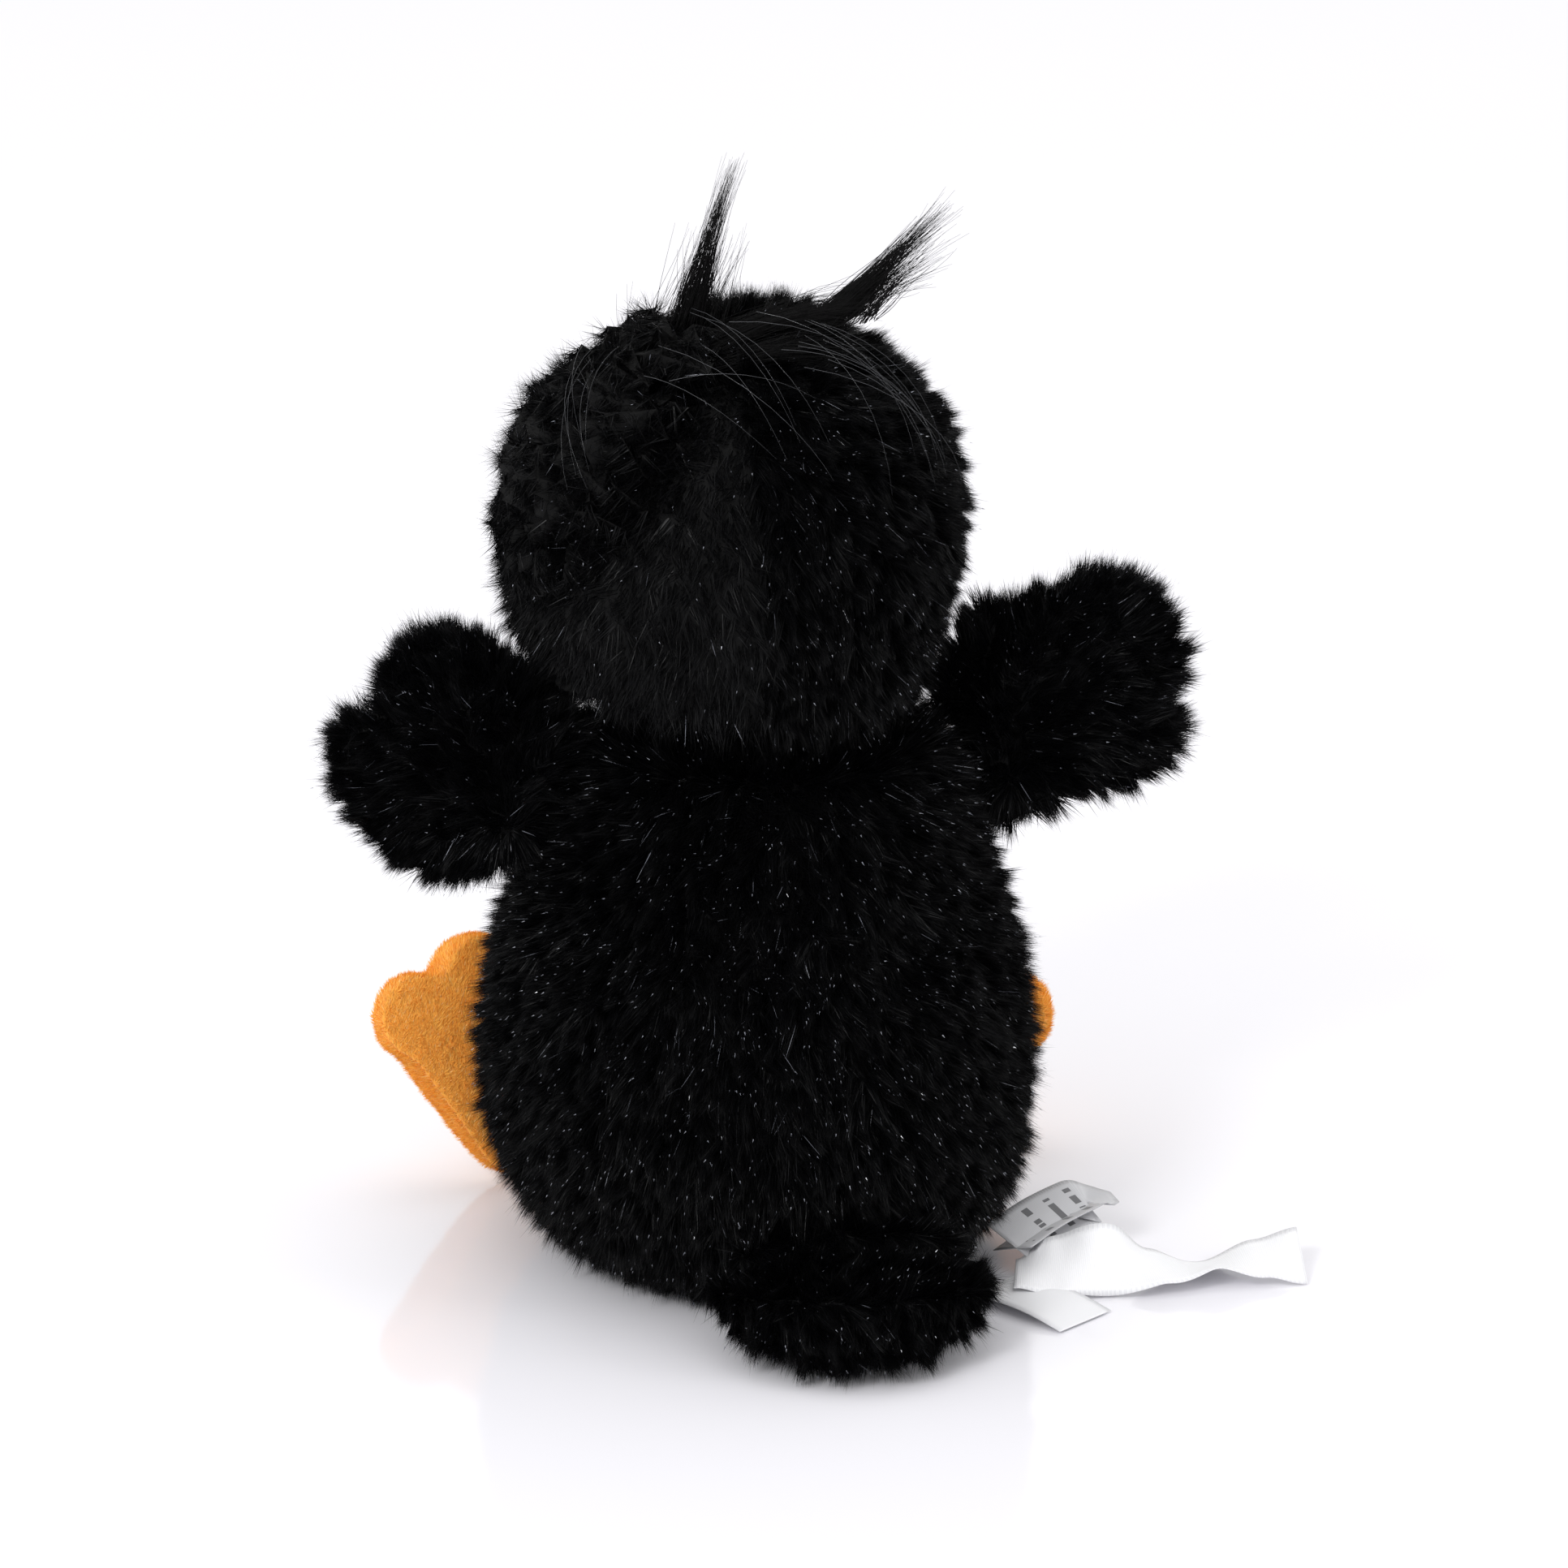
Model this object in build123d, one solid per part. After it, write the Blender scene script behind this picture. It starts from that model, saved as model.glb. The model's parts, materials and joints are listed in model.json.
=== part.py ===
"""Seated plush penguin: sewn skins over stuffing, in its own frame.

Millimetres. +Z is up, the face looks along -Y and the toy's own left is +X.
The origin is the middle of the flat seat, on the surface that the toy sits on.
A skin's thickness is its cloth backing and its pile together.
"""
import os
from math import asin, degrees, radians, sqrt, tan

from build123d import *

# ---- driving dimensions -------------------------------------------------
PLUSH = 4.0            # long-pile skin: backing and pile
VELBOA = 2.0           # short-pile skin of the feet and beak
LAY = 0.1              # play between a skin and the stuffing in it
OPEN_GAP = 0.4         # play between two moving bodies

TORSO_R = 49.0         # widest radius of the torso
TORSO_TOP = 93.5       # height of the shoulder rim
SHOULDER_R = 28.5      # radius of the shoulder rim
SEAT_R = 34.0          # radius of the flat seat
BELLY_AT = 50.0        # height of the white belly's middle
BELLY = (33.0, 38.0)   # half-width and half-height of the white belly
BEAN_R, BEAN_HALF = 25.0, 8.0

NECK_R = 18.0          # ball of stuffing at the neck
NECK_SKIN = 2.0
NECK_SLOPE = 6.5       # degrees each side of level that the neck crease opens
NECK_Z = TORSO_TOP + SHOULDER_R * tan(radians(NECK_SLOPE))

HEAD_R = 42.5          # radius of the head, seen from the front
HEAD_HALF_DEPTH = 38.5
HEAD_AT = (6.0, -4.0, 128.0)     # centre of the head
HEAD_ROLL = 4.0                  # degrees that the head leans to its own left
HEAD_BACK_R = 36.0               # radius of the round back panel
CROWN = (22.0, 11.0)             # half-sizes of the long-pile crown panel

EYE_R = 5.0            # radius of an eye's dome
EYE_DOME = 4.2         # height of the dome
EYE_SUNK = 1.2         # how far the dome's rim sinks into the pile
EYE_X, EYE_Z = 13.5, 6.0         # eye centres on the head, from its centre
SHANK_R = 1.9          # shank of a locked-in plastic eye
SHANK_LENGTH = 11.0
WASHER_R, WASHER_T = 5.5, 1.5

BEAK_Y, BEAK_Z = -35.0, -6.5     # root of the mouth line, from the head's centre
BEAK_UPPER = (10.5, 19.0)        # radius and half-length
BEAK_LOWER = (8.5, 15.0)

WING_SKIN = 3.0
WING_HALF = 7.0        # half-thickness in the middle of a wing
WING_CURVE = 96.0      # radius of a wing's two faces
WING_FILL = 0.8        # stuffing outline over wing outline
WING_SWING = 16.0      # degrees that the left wing reaches forward
# Wing outlines as x and z, from the seam's low end to its top, then round the
# main lobe to the notch, and round the lower lobe back to the seam.
WING_RIGHT = {
    "mid": (58.5, 99.0),
    "seam": ((43.0, 73.0), (35.0, 90.5), (37.8, 96.8)),
    "main": ((44.5, 113.0), (53.0, 121.5), (65.0, 121.5), (72.5, 113.5), (74.0, 104.0), (69.0, 98.5)),
    "lower": ((74.0, 96.0), (72.0, 89.0), (61.0, 80.5)),
}
WING_LEFT = {
    "mid": (59.0, 92.0),
    "seam": ((44.5, 70.5), (36.0, 89.5), (38.8, 97.5)),
    "main": ((48.0, 108.0), (57.0, 111.5), (66.0, 107.5), (69.5, 101.5), (68.5, 96.0)),
    "lower": ((76.0, 94.5), (78.0, 86.0), (71.5, 75.5), (57.0, 69.0)),
}

FOOT_HALF = 7.0
FOOT_CURVE = 70.0
FOOT_LENGTH = 46.0
FOOT_FILL = 0.88
FOOT_LEAN = 13.0       # degrees that the toes lean forward
FOOT_LEFT = ((36.0, -38.0, 0.4), 20.0, 9.0)      # heel, turn out, splay
FOOT_RIGHT = ((-33.0, -40.0, 0.4), -36.0, -12.0)

TAIL_ROOT = (-4.0, 48.0, 9.5)    # middle of the tail's seam
TAIL_YAW = -8.0
TAIL_HALF = 8.0        # half-thickness in the middle of the tail
TAIL_CURVE = 62.0
TAIL_MID = 12.0        # distance of the thickest place from the seam
TAIL_FILL = 0.86
TAIL_CLEAR_R = 48.2    # the tail starts this far from the torso's axis

RIBBON_T = 0.4         # satin ribbon
# Each ribbon: where it leaves the seam, turn, roll, then width, length and arch.
CARE = ((-44.2, 21.8, 8.2), 31.0, -24.0, (11.0, 16.0, 1.2))
LONG_END = ((-34.5, 33.0, 1.7), -3.4, 0.0, (13.0, 52.5, 2.5))
SHORT_END = ((-31.0, 30.5, 0.3), -74.0, 0.0, (14.0, 25.0, 0.8))

FAR = 200.0            # larger than the toy, for cutting tools
POLE_R = 0.2           # tiny flat at each end of a spheroid, where its surface closes


# ---- helpers ------------------------------------------------------------
def save(name, shape):
    """Write one sub-part as parts/NAME.step."""
    solids = shape.solids()
    whole = solids[0] if len(solids) == 1 else Compound(children=list(solids))
    export_step(whole, f"parts/{name}.step")


def spheroid(radius, half_length, axis=Axis.Y):
    """A ball stretched or flattened along Y, or along Z."""
    sweep = 90 - degrees(asin(POLE_R / radius))
    arcs = [
        EllipticalCenterArc((0, 0), radius, half_length, -sweep, arc_size=sweep),
        EllipticalCenterArc((0, 0), radius, half_length, 0, arc_size=sweep),
    ]
    low, high = arcs[0] @ 0, arcs[1] @ 1
    ends = [Line(high, (0, high.Y)), Line((0, high.Y), (0, low.Y)), Line((0, low.Y), low)]
    ball = revolve(make_face([*arcs, *ends]), Axis.Y)
    return ball if axis == Axis.Y else Rot(90, 0, 0) * ball


def block(low, high):
    """A box between two corners."""
    size = [h - l for l, h in zip(low, high)]
    middle = [(h + l) / 2 for l, h in zip(low, high)]
    return Pos(*middle) * Box(*size)


LEFT_HALF = block((0, -FAR, -FAR), (FAR, FAR, FAR))
RIGHT_HALF = block((-FAR, -FAR, -FAR), (0, FAR, FAR))
FRONT_HALF = block((-FAR, -FAR, -FAR), (FAR, 0, FAR))
BACK_HALF = block((-FAR, 0, -FAR), (FAR, FAR, FAR))
FRONT_PLANE = Plane((0, 0, 0), x_dir=(1, 0, 0), z_dir=(0, -1, 0))
BACK_PLANE = Plane((0, 0, 0), x_dir=(1, 0, 0), z_dir=(0, 1, 0))


# ---- torso --------------------------------------------------------------
def pear(inset):
    """The torso's outer form, or the same form that lies inset inside it."""
    rim = (SHOULDER_R - inset, 0, TORSO_TOP - inset)
    low = (SEAT_R - inset, 0, inset)
    top = (0, 0, NECK_Z - inset)
    seat = (0, 0, inset)
    side = Spline(
        low,
        (SEAT_R + 9.5 - inset, 0, 10 + inset * 0.6),
        (TORSO_R - inset, 0, 41),
        (TORSO_R - 4.7 - inset, 0, 65),
        rim,
    )
    return revolve(make_face([side, Line(rim, top), Line(top, seat), Line(seat, low)]), Axis.Z)


NECK_AT = Pos(0, 0, NECK_Z)
NECK_SOCKET = NECK_AT * Sphere(NECK_R + OPEN_GAP)


def torso():
    """Back, belly and seat panels, the stuffing and the bag of beans."""
    skin = pear(0) - pear(PLUSH) - NECK_SOCKET
    seat_cut = Pos(0, 0, PLUSH / 2) * Cylinder(SEAT_R + 2, PLUSH)
    belly_cut = extrude(FRONT_PLANE * Pos(0, BELLY_AT) * Ellipse(*BELLY), FAR)
    save("torso_seat_panel", skin & seat_cut)
    save("torso_belly_panel", (skin & belly_cut) - seat_cut)
    back = skin - belly_cut - seat_cut
    save("torso_back_left_panel", back & LEFT_HALF)
    save("torso_back_right_panel", back & RIGHT_HALF)
    bean_at = Pos(0, 0, PLUSH + BEAN_HALF + 2)
    save("bean_bag", bean_at * spheroid(BEAN_R, BEAN_HALF, Axis.Z))
    pocket = bean_at * spheroid(BEAN_R + LAY, BEAN_HALF + LAY, Axis.Z)
    save("torso_stuffing", pear(PLUSH + LAY) - NECK_SOCKET - pocket)


# ---- neck ---------------------------------------------------------------
def neck():
    """The short stuffed neck that the head nods and turns on."""
    save("neck_skin", NECK_AT * (Sphere(NECK_R) - Sphere(NECK_R - NECK_SKIN)))
    save("neck_stuffing", NECK_AT * Sphere(NECK_R - NECK_SKIN - LAY))


# ---- head ---------------------------------------------------------------
HEAD_PLACE = Pos(*HEAD_AT) * Rot(0, HEAD_ROLL, 0)


def head_clearance():
    """Everything under the neck crease, and the ball in it, that the head leaves free."""
    crease = NECK_Z + OPEN_GAP
    rise = FAR * tan(radians(NECK_SLOPE))
    corners = ((0, 0, crease), (FAR, 0, crease + rise), (FAR, 0, -FAR), (0, 0, -FAR))
    return revolve(make_face(Polyline(*corners, close=True)), Axis.Z) + NECK_SOCKET


def eye_place(side):
    """Where an eye's dome sits on the head: its own +Z looks out of the face."""
    x = side * EYE_X
    y = -HEAD_HALF_DEPTH * sqrt(1 - (x * x + EYE_Z * EYE_Z) / HEAD_R**2)
    normal = (x / HEAD_R**2, y / HEAD_HALF_DEPTH**2, EYE_Z / HEAD_R**2)
    plane = Plane((x, y, EYE_Z), x_dir=(0, 1, 0), z_dir=normal)
    return plane.location * Pos(0, 0, -EYE_SUNK)


def eye_shape(grow=0.0):
    """Dome and shank of one eye, in the eye's own frame."""
    ball = spheroid(EYE_R + grow, EYE_DOME + grow, Axis.Z)
    dome = ball & block((-FAR, -FAR, -grow), (FAR, FAR, FAR))
    shank = Pos(0, 0, -SHANK_LENGTH / 2) * Cylinder(SHANK_R + grow, SHANK_LENGTH + 2 * grow)
    return dome + shank


def washer_shape(grow=0.0):
    """The locking washer pushed on the shank inside the head."""
    at = Pos(0, 0, -PLUSH - 1 - WASHER_T / 2)
    return at * Cylinder(WASHER_R + grow, WASHER_T + 2 * grow)


def tuft(base, bend, tip, radius):
    """A lock of long crown pile, thick at its base and thin at its tip."""
    path = ThreePointArc(base, bend, tip)
    sections = [
        Plane(path @ t, z_dir=path % t) * Circle(radius * (1 - t) + 0.5)
        for t in (0, 0.5, 1)
    ]
    return loft(sections)


def head_skins():
    """Face, back, crown and side panels, and the stuffing under them."""
    skin = spheroid(HEAD_R, HEAD_HALF_DEPTH) - spheroid(HEAD_R - PLUSH, HEAD_HALF_DEPTH - PLUSH)
    face_outline = Pos(0, -8) * Ellipse(23, 20) + Pos(-11, 7) * Circle(14) + Pos(11, 7) * Circle(14)
    face_cut = extrude(FRONT_PLANE * face_outline, FAR)
    back_cut = extrude(BACK_PLANE * Circle(HEAD_BACK_R), FAR)
    crown_cut = extrude(Pos(-2, 2) * Ellipse(*CROWN), FAR)
    free = head_clearance()
    eyes = [eye_place(side) * eye_shape(LAY) for side in (-1, 1)]
    washers = [eye_place(side) * washer_shape(LAY) for side in (-1, 1)]

    def placed(shape):
        return (HEAD_PLACE * shape) - free

    save("head_face_panel", placed((skin & face_cut) - eyes[0] - eyes[1]))
    save("head_back_panel", placed(skin & back_cut))
    save("head_crown_panel", placed((skin & crown_cut) - face_cut - back_cut))
    sides = skin - face_cut - back_cut - crown_cut
    save("head_left_panel", placed(sides & LEFT_HALF))
    save("head_right_panel", placed(sides & RIGHT_HALF))
    stuffing = spheroid(HEAD_R - PLUSH - LAY, HEAD_HALF_DEPTH - PLUSH - LAY)
    save("head_stuffing", placed(stuffing - eyes[0] - eyes[1] - washers[0] - washers[1]))


def eyes():
    """Two locked-in plastic eyes and their washers."""
    for name, side in (("left", 1), ("right", -1)):
        place = HEAD_PLACE * eye_place(side)
        save(f"eye_{name}", place * eye_shape())
        bore = Pos(0, 0, -SHANK_LENGTH / 2) * Cylinder(SHANK_R + LAY, 2 * SHANK_LENGTH)
        save(f"eye_washer_{name}", place * (washer_shape() - bore))


def beak():
    """Upper and lower beak covers over one piece of stuffing."""
    root = Pos(0, BEAK_Y, BEAK_Z)
    off_head = spheroid(HEAD_R + LAY, HEAD_HALF_DEPTH + LAY)
    above = block((-FAR, -FAR, LAY / 2), (FAR, FAR, FAR))
    below = block((-FAR, -FAR, -FAR), (FAR, FAR, -LAY / 2))
    upper = root * (spheroid(*BEAK_UPPER) & above)
    lower = root * (spheroid(*BEAK_LOWER) & below)
    fill_r, fill_half = (size - VELBOA for size in BEAK_LOWER)
    fill = root * spheroid(fill_r, fill_half)
    pocket = root * spheroid(fill_r + LAY, fill_half + LAY)
    save("beak_upper", HEAD_PLACE * (upper - off_head - pocket))
    save("beak_lower", HEAD_PLACE * (lower - off_head - pocket))
    save("beak_stuffing", HEAD_PLACE * (fill - off_head))


def hair():
    """Two upright locks of the crown's long pile."""
    skull = spheroid(HEAD_R + LAY, HEAD_HALF_DEPTH + LAY)
    left = tuft((8, 2, 37), (7, 2, 54), (1, 3, 69), 4.2)
    right = tuft((-15, 1, 35), (-22, 1, 47), (-33, 3, 57), 3.8)
    save("hair_tuft_left", HEAD_PLACE * (left - skull))
    save("hair_tuft_right", HEAD_PLACE * (right - skull))


# ---- limbs --------------------------------------------------------------
def pillow(outline, mid, half, curve, inset=0.0, share=1.0):
    """A flat outline in the XZ plane, puffed up between two round faces.

    An inset makes the stuffing's form: thinner, and share as wide.
    """
    sketch = Pos(mid[0] * (1 - share), mid[1] * (1 - share)) * scale(outline, by=share)
    form = extrude(Plane.XZ * sketch, 2 * half, both=True)
    for side in (-1, 1):
        form = form & Pos(mid[0], side * (curve - half), mid[1]) * Sphere(curve - inset)
    return form


def limb(name, outline, mid, half, curve, inset, share, place, faces, clear=None):
    """Save two sewn panels and the stuffing between them, moved to their place."""
    outer = pillow(outline, mid, half, curve)
    hollow = pillow(outline, mid, half, curve, inset, share)
    fill = pillow(outline, mid, half, curve, inset + LAY, share - 0.01)
    for face, side in zip(faces, (FRONT_HALF, BACK_HALF)):
        panel = place((outer - hollow) & side)
        save(f"{name}_{face}_panel", panel - clear if clear else panel)
    stuffing = place(fill)
    save(f"{name}_stuffing", stuffing - clear if clear else stuffing)


def wing_outline(wing):
    """A broad wing with a notch between its main lobe and its lower lobe."""
    low, bend, top = wing["seam"]
    notch = wing["main"][-1]
    edges = [
        Line(low, bend),
        Line(bend, top),
        Spline(top, *wing["main"]),
        Spline(notch, *wing["lower"], low),
    ]
    return make_face(edges)


def wings():
    """Both wings: the right one level, the left one lower and further forward."""
    (low_x, low_z), _, (top_x, top_z) = WING_LEFT["seam"]
    seam = Axis((low_x, 0, low_z), (top_x - low_x, 0, top_z - low_z))

    def left(shape):
        return shape.rotate(seam, -WING_SWING)

    def right(shape):
        return mirror(shape, about=Plane.YZ)

    for name, wing, place in (("wing_left", WING_LEFT, left), ("wing_right", WING_RIGHT, right)):
        limb(
            name, wing_outline(wing), wing["mid"], WING_HALF, WING_CURVE, WING_SKIN, WING_FILL,
            place, ("front", "back"),
        )


def foot_outline():
    """A webbed foot that stands on its heel, with three rounded toes."""
    heel = Pos(0, 10.5) * Circle(10.5)
    web = make_face(Polyline((-9.5, 6), (9.5, 6), (21, 35), (-21, 35), close=True))
    side_toes = [Pos(x, FOOT_LENGTH - 11.2) * Circle(8.2) for x in (-13.6, 13.6)]
    middle_toe = Pos(0, FOOT_LENGTH - 8.6) * Circle(8.6)
    return (heel + web + side_toes[0] + side_toes[1] + middle_toe).face()


def feet():
    """Both feet: soles to the front, heels on the ground, toes up."""
    outline = foot_outline()
    for name, (heel, turn_out, splay) in (("foot_left", FOOT_LEFT), ("foot_right", FOOT_RIGHT)):
        stand = Pos(*heel) * Rot(0, 0, turn_out) * Rot(0, splay, 0) * Rot(FOOT_LEAN, 0, 0)

        def place(shape, stand=stand):
            return stand * shape

        limb(
            name, outline, (0, FOOT_LENGTH / 2 + 3), FOOT_HALF, FOOT_CURVE, VELBOA, FOOT_FILL,
            place, ("sole", "instep"),
        )


def tail():
    """A short wide tail that lies on the ground behind the seat."""
    sides = Spline((23, -10), (25.5, 5), (19, 15.5), (0, 24), (-19, 15.5), (-25.5, 5), (-23, -10))
    outline = make_face([Line((-23, -10), (23, -10)), sides])
    lie = Pos(*TAIL_ROOT) * Rot(0, 0, TAIL_YAW) * Rot(-90, 0, 0)

    def place(shape):
        return lie * shape

    limb(
        "tail", outline, (0, TAIL_MID), TAIL_HALF, TAIL_CURVE, WING_SKIN, TAIL_FILL,
        place, ("top", "under"), Cylinder(TAIL_CLEAR_R, FAR),
    )


# ---- labels -------------------------------------------------------------
def ribbon(at, turn, roll, size):
    """A ribbon that leaves the seam towards its own -X and arches up."""
    width, length, arch = size
    upper = ThreePointArc((0, RIBBON_T), (-length / 2, arch + RIBBON_T), (-length, RIBBON_T))
    under = ThreePointArc((0, 0), (-length / 2, arch), (-length, 0))
    ends = [Line((0, 0), (0, RIBBON_T)), Line((-length, 0), (-length, RIBBON_T))]
    band = extrude(Plane.XZ * make_face([upper, under, *ends]), width / 2, both=True)
    return Pos(*at) * Rot(0, 0, turn) * Rot(roll, 0, 0) * band


def labels():
    """The care label, and the two plain satin ends that are sewn in under it."""
    save("care_label", ribbon(*CARE))
    save("satin_ribbon_long_end", ribbon(*LONG_END))
    save("satin_ribbon_short_end", ribbon(*SHORT_END))


def main():
    """Write every sub-part."""
    os.makedirs("parts", exist_ok=True)
    torso()
    neck()
    head_skins()
    eyes()
    beak()
    hair()
    wings()
    feet()
    tail()
    labels()


main()
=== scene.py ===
import json
import logging
import math
import random
from dataclasses import dataclass, field
from enum import Enum
from typing import Callable, Iterable, Optional, Sequence, Union

import bmesh
import bpy
import numpy as np
from mathutils import Matrix, Vector


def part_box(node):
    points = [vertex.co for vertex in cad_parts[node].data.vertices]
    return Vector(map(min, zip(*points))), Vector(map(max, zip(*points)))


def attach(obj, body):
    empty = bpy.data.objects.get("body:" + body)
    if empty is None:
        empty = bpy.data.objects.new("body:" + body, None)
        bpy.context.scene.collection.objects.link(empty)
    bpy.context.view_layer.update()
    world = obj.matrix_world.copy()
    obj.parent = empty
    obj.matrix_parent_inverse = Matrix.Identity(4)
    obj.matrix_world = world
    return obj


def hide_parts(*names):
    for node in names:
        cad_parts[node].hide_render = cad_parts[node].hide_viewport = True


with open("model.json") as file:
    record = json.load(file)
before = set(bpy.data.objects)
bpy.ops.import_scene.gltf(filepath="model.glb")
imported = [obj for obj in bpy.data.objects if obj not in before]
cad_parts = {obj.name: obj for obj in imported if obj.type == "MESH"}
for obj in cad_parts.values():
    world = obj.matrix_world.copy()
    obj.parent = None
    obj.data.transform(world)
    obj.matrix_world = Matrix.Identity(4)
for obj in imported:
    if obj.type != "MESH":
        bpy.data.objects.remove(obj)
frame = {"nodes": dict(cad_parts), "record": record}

LOG = logging.getLogger("penguin")
MM = 0.001
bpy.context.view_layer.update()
DOWN = Vector((0.0, 0.0, -1.0))
GROUND_GAP = 0.15 * MM
STRAND_LENGTHS = (0.7, 1.15)
STRAND_WIDTHS = (0.7, 1.3)
GUARD_HAIRS = 0.96
GUARD_EXTRA = 0.3
BODY_SHADE = 0.3
TIP_SHADE = 0.62
# The next two set the painted glints: a second layer of short light strand tips that stand in for specular
# glints on the pile.
PAINTED_GLINT_START = 0.9
PAINTED_GLINT_SEED = 500
LABEL_WIDTH = 11.5
RIBBON_WIDTH = 13.0

Socket = bpy.types.NodeSocket
Piece = bpy.types.Object
Link = Union[int, float, tuple, str, "Expr", Socket, bpy.types.ID, None]
Options = Optional[dict]
Comb = Callable[[Vector, Vector], Vector]
Test = Callable[[Vector], bool]
Reach = Callable[[Vector], float]


# ---- node trees as expressions -------------------------------------------
class Expr:
    """A number socket that can stand in a Python expression."""

    def __init__(self, graph: "Graph", socket: Socket) -> None:
        """Wraps one output socket of the graph."""
        self.graph = graph
        self.socket = socket

    def _math(self, operation: str, first: Link, second: Link = 0.0) -> "Expr":
        """One Math node on two values."""
        node = self.graph.node("ShaderNodeMath", {"operation": operation}, {0: first, 1: second})
        return Expr(self.graph, node.outputs[0])

    def __add__(self, other: Link) -> "Expr":
        """self + other."""
        return self._math("ADD", self, other)

    __radd__ = __add__

    def __mul__(self, other: Link) -> "Expr":
        """self * other."""
        return self._math("MULTIPLY", self, other)

    __rmul__ = __mul__

    def __sub__(self, other: Link) -> "Expr":
        """self - other."""
        return self._math("SUBTRACT", self, other)

    def __rsub__(self, other: Link) -> "Expr":
        """other - self."""
        return self._math("SUBTRACT", other, self)

    def __gt__(self, other: Link) -> "Expr":
        """1 where self is greater than other, else 0."""
        return self._math("GREATER_THAN", self, other)

    def __lt__(self, other: Link) -> "Expr":
        """1 where self is less than other, else 0."""
        return self._math("LESS_THAN", self, other)

    def fraction(self) -> "Expr":
        """The part after the decimal point."""
        return self._math("FRACT", self)

    def floor(self) -> "Expr":
        """The whole number below."""
        return self._math("FLOOR", self)


class Graph:
    """Builds a node tree, for a material or for Geometry Nodes."""

    def __init__(self, tree: bpy.types.NodeTree) -> None:
        """Starts on an empty tree."""
        self.tree = tree
        tree.nodes.clear()

    def node(self, kind: str, settings: Options = None, inputs: Options = None) -> bpy.types.Node:
        """Adds one node.

        Args:
            kind: the node's type.
            settings: its properties, set before its sockets.
            inputs: values or links, by socket name or number.

        Returns:
            The node.
        """
        node = self.tree.nodes.new(kind)
        for name, value in (settings or {}).items():
            setattr(node, name, value)
        for name, value in (inputs or {}).items():
            self._feed(node.inputs[name], value)
        return node

    def _feed(self, socket: Socket, value: Link) -> None:
        """Links a socket to an output, or sets its value."""
        if isinstance(value, Expr):
            self.tree.links.new(value.socket, socket)
        elif isinstance(value, Socket):
            self.tree.links.new(value, socket)
        elif value is not None:
            wide = hasattr(socket.default_value, "__len__") and len(socket.default_value) == 4
            socket.default_value = (*value, 1.0) if wide and len(value) == 3 else value

    def value(self, kind: str, settings: Options = None, inputs: Options = None, output: int = 0) -> Expr:
        """A node's output as an expression."""
        return Expr(self, self.node(kind, settings, inputs).outputs[output])

    def vector(self, operation: str, first: Link, second: Link = None, factor: Link = None) -> Socket:
        """One Vector Math node.

        Args:
            operation: ADD, SUBTRACT, MULTIPLY, SCALE, NORMALIZE or LENGTH.
            first: the first vector.
            second: the second vector, where there is one.
            factor: the scale, for SCALE.

        Returns:
            The vector output, or the value output for LENGTH.
        """
        inputs = {0: first, 1: second}
        if factor is not None:
            inputs["Scale"] = factor
        node = self.node("ShaderNodeVectorMath", {"operation": operation}, inputs)
        return node.outputs["Value" if operation == "LENGTH" else "Vector"]

    def mix(self, factor: Link, first: Link, second: Link) -> Socket:
        """A colour between two colours."""
        node = self.node("ShaderNodeMix", {"data_type": "RGBA"}, {"Factor": factor, 6: first, 7: second})
        return node.outputs[2]


# ---- finishes --------------------------------------------------------------
class Finish:
    """A named material, built once when it is first asked for."""

    name: str

    def build(self, graph: Graph) -> Socket:
        """Builds the shader and returns its output."""
        raise NotImplementedError

    def material(self) -> bpy.types.Material:
        """The material itself."""
        known = bpy.data.materials.get(self.name)
        if known:
            return known
        material = bpy.data.materials.new(self.name)
        material.use_nodes = True
        graph = Graph(material.node_tree)
        surface = self.build(graph)
        graph.node("ShaderNodeOutputMaterial", None, {"Surface": surface})
        return material


@dataclass(frozen=True)
class Fibre(Finish):
    """One shade of pile fibre. A pile mixes several of these strand by strand."""

    name: str
    colour: tuple
    roughness: float = 0.42
    specular: float = 0.5
    sheen: float = 0.0

    def build(self, graph: Graph) -> Socket:
        """A plain fibre, with its gloss set on the shader."""
        return graph.node("ShaderNodeBsdfPrincipled", None, {
            "Base Color": self.colour, "Roughness": self.roughness,
            "Specular IOR Level": self.specular, "Sheen Weight": self.sheen,
        }).outputs[0]


@dataclass(frozen=True)
class Cloth(Finish):
    """Knitted backing, velour or stuffing: two shades in a cloudy mix over a fine grain."""

    name: str
    light: tuple
    dark: tuple
    grain: float = 2600.0
    cloud: float = 140.0
    roughness: float = 0.9
    bump: float = 0.35
    sheen: float = 0.0

    def build(self, graph: Graph) -> Socket:
        """Cloud and grain mix the two shades, and the grain lifts the surface."""
        place = graph.node("ShaderNodeTexCoord").outputs["Object"]
        cloud = graph.value("ShaderNodeTexNoise", None, {"Vector": place, "Scale": self.cloud, "Detail": 3.0})
        grain = graph.value("ShaderNodeTexNoise", None, {"Vector": place, "Scale": self.grain, "Detail": 2.0})
        blend = cloud * 0.6 + grain * 0.4
        colour = graph.mix(blend, self.dark, self.light)
        bump = graph.node("ShaderNodeBump", None, {
            "Strength": self.bump, "Distance": 0.2 * MM, "Height": grain,
        })
        return graph.node("ShaderNodeBsdfPrincipled", None, {
            "Base Color": colour, "Roughness": grain * 0.12 + (self.roughness - 0.06),
            "Normal": bump.outputs[0], "Sheen Weight": self.sheen, "Specular IOR Level": 0.25,
        }).outputs[0]


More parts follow.
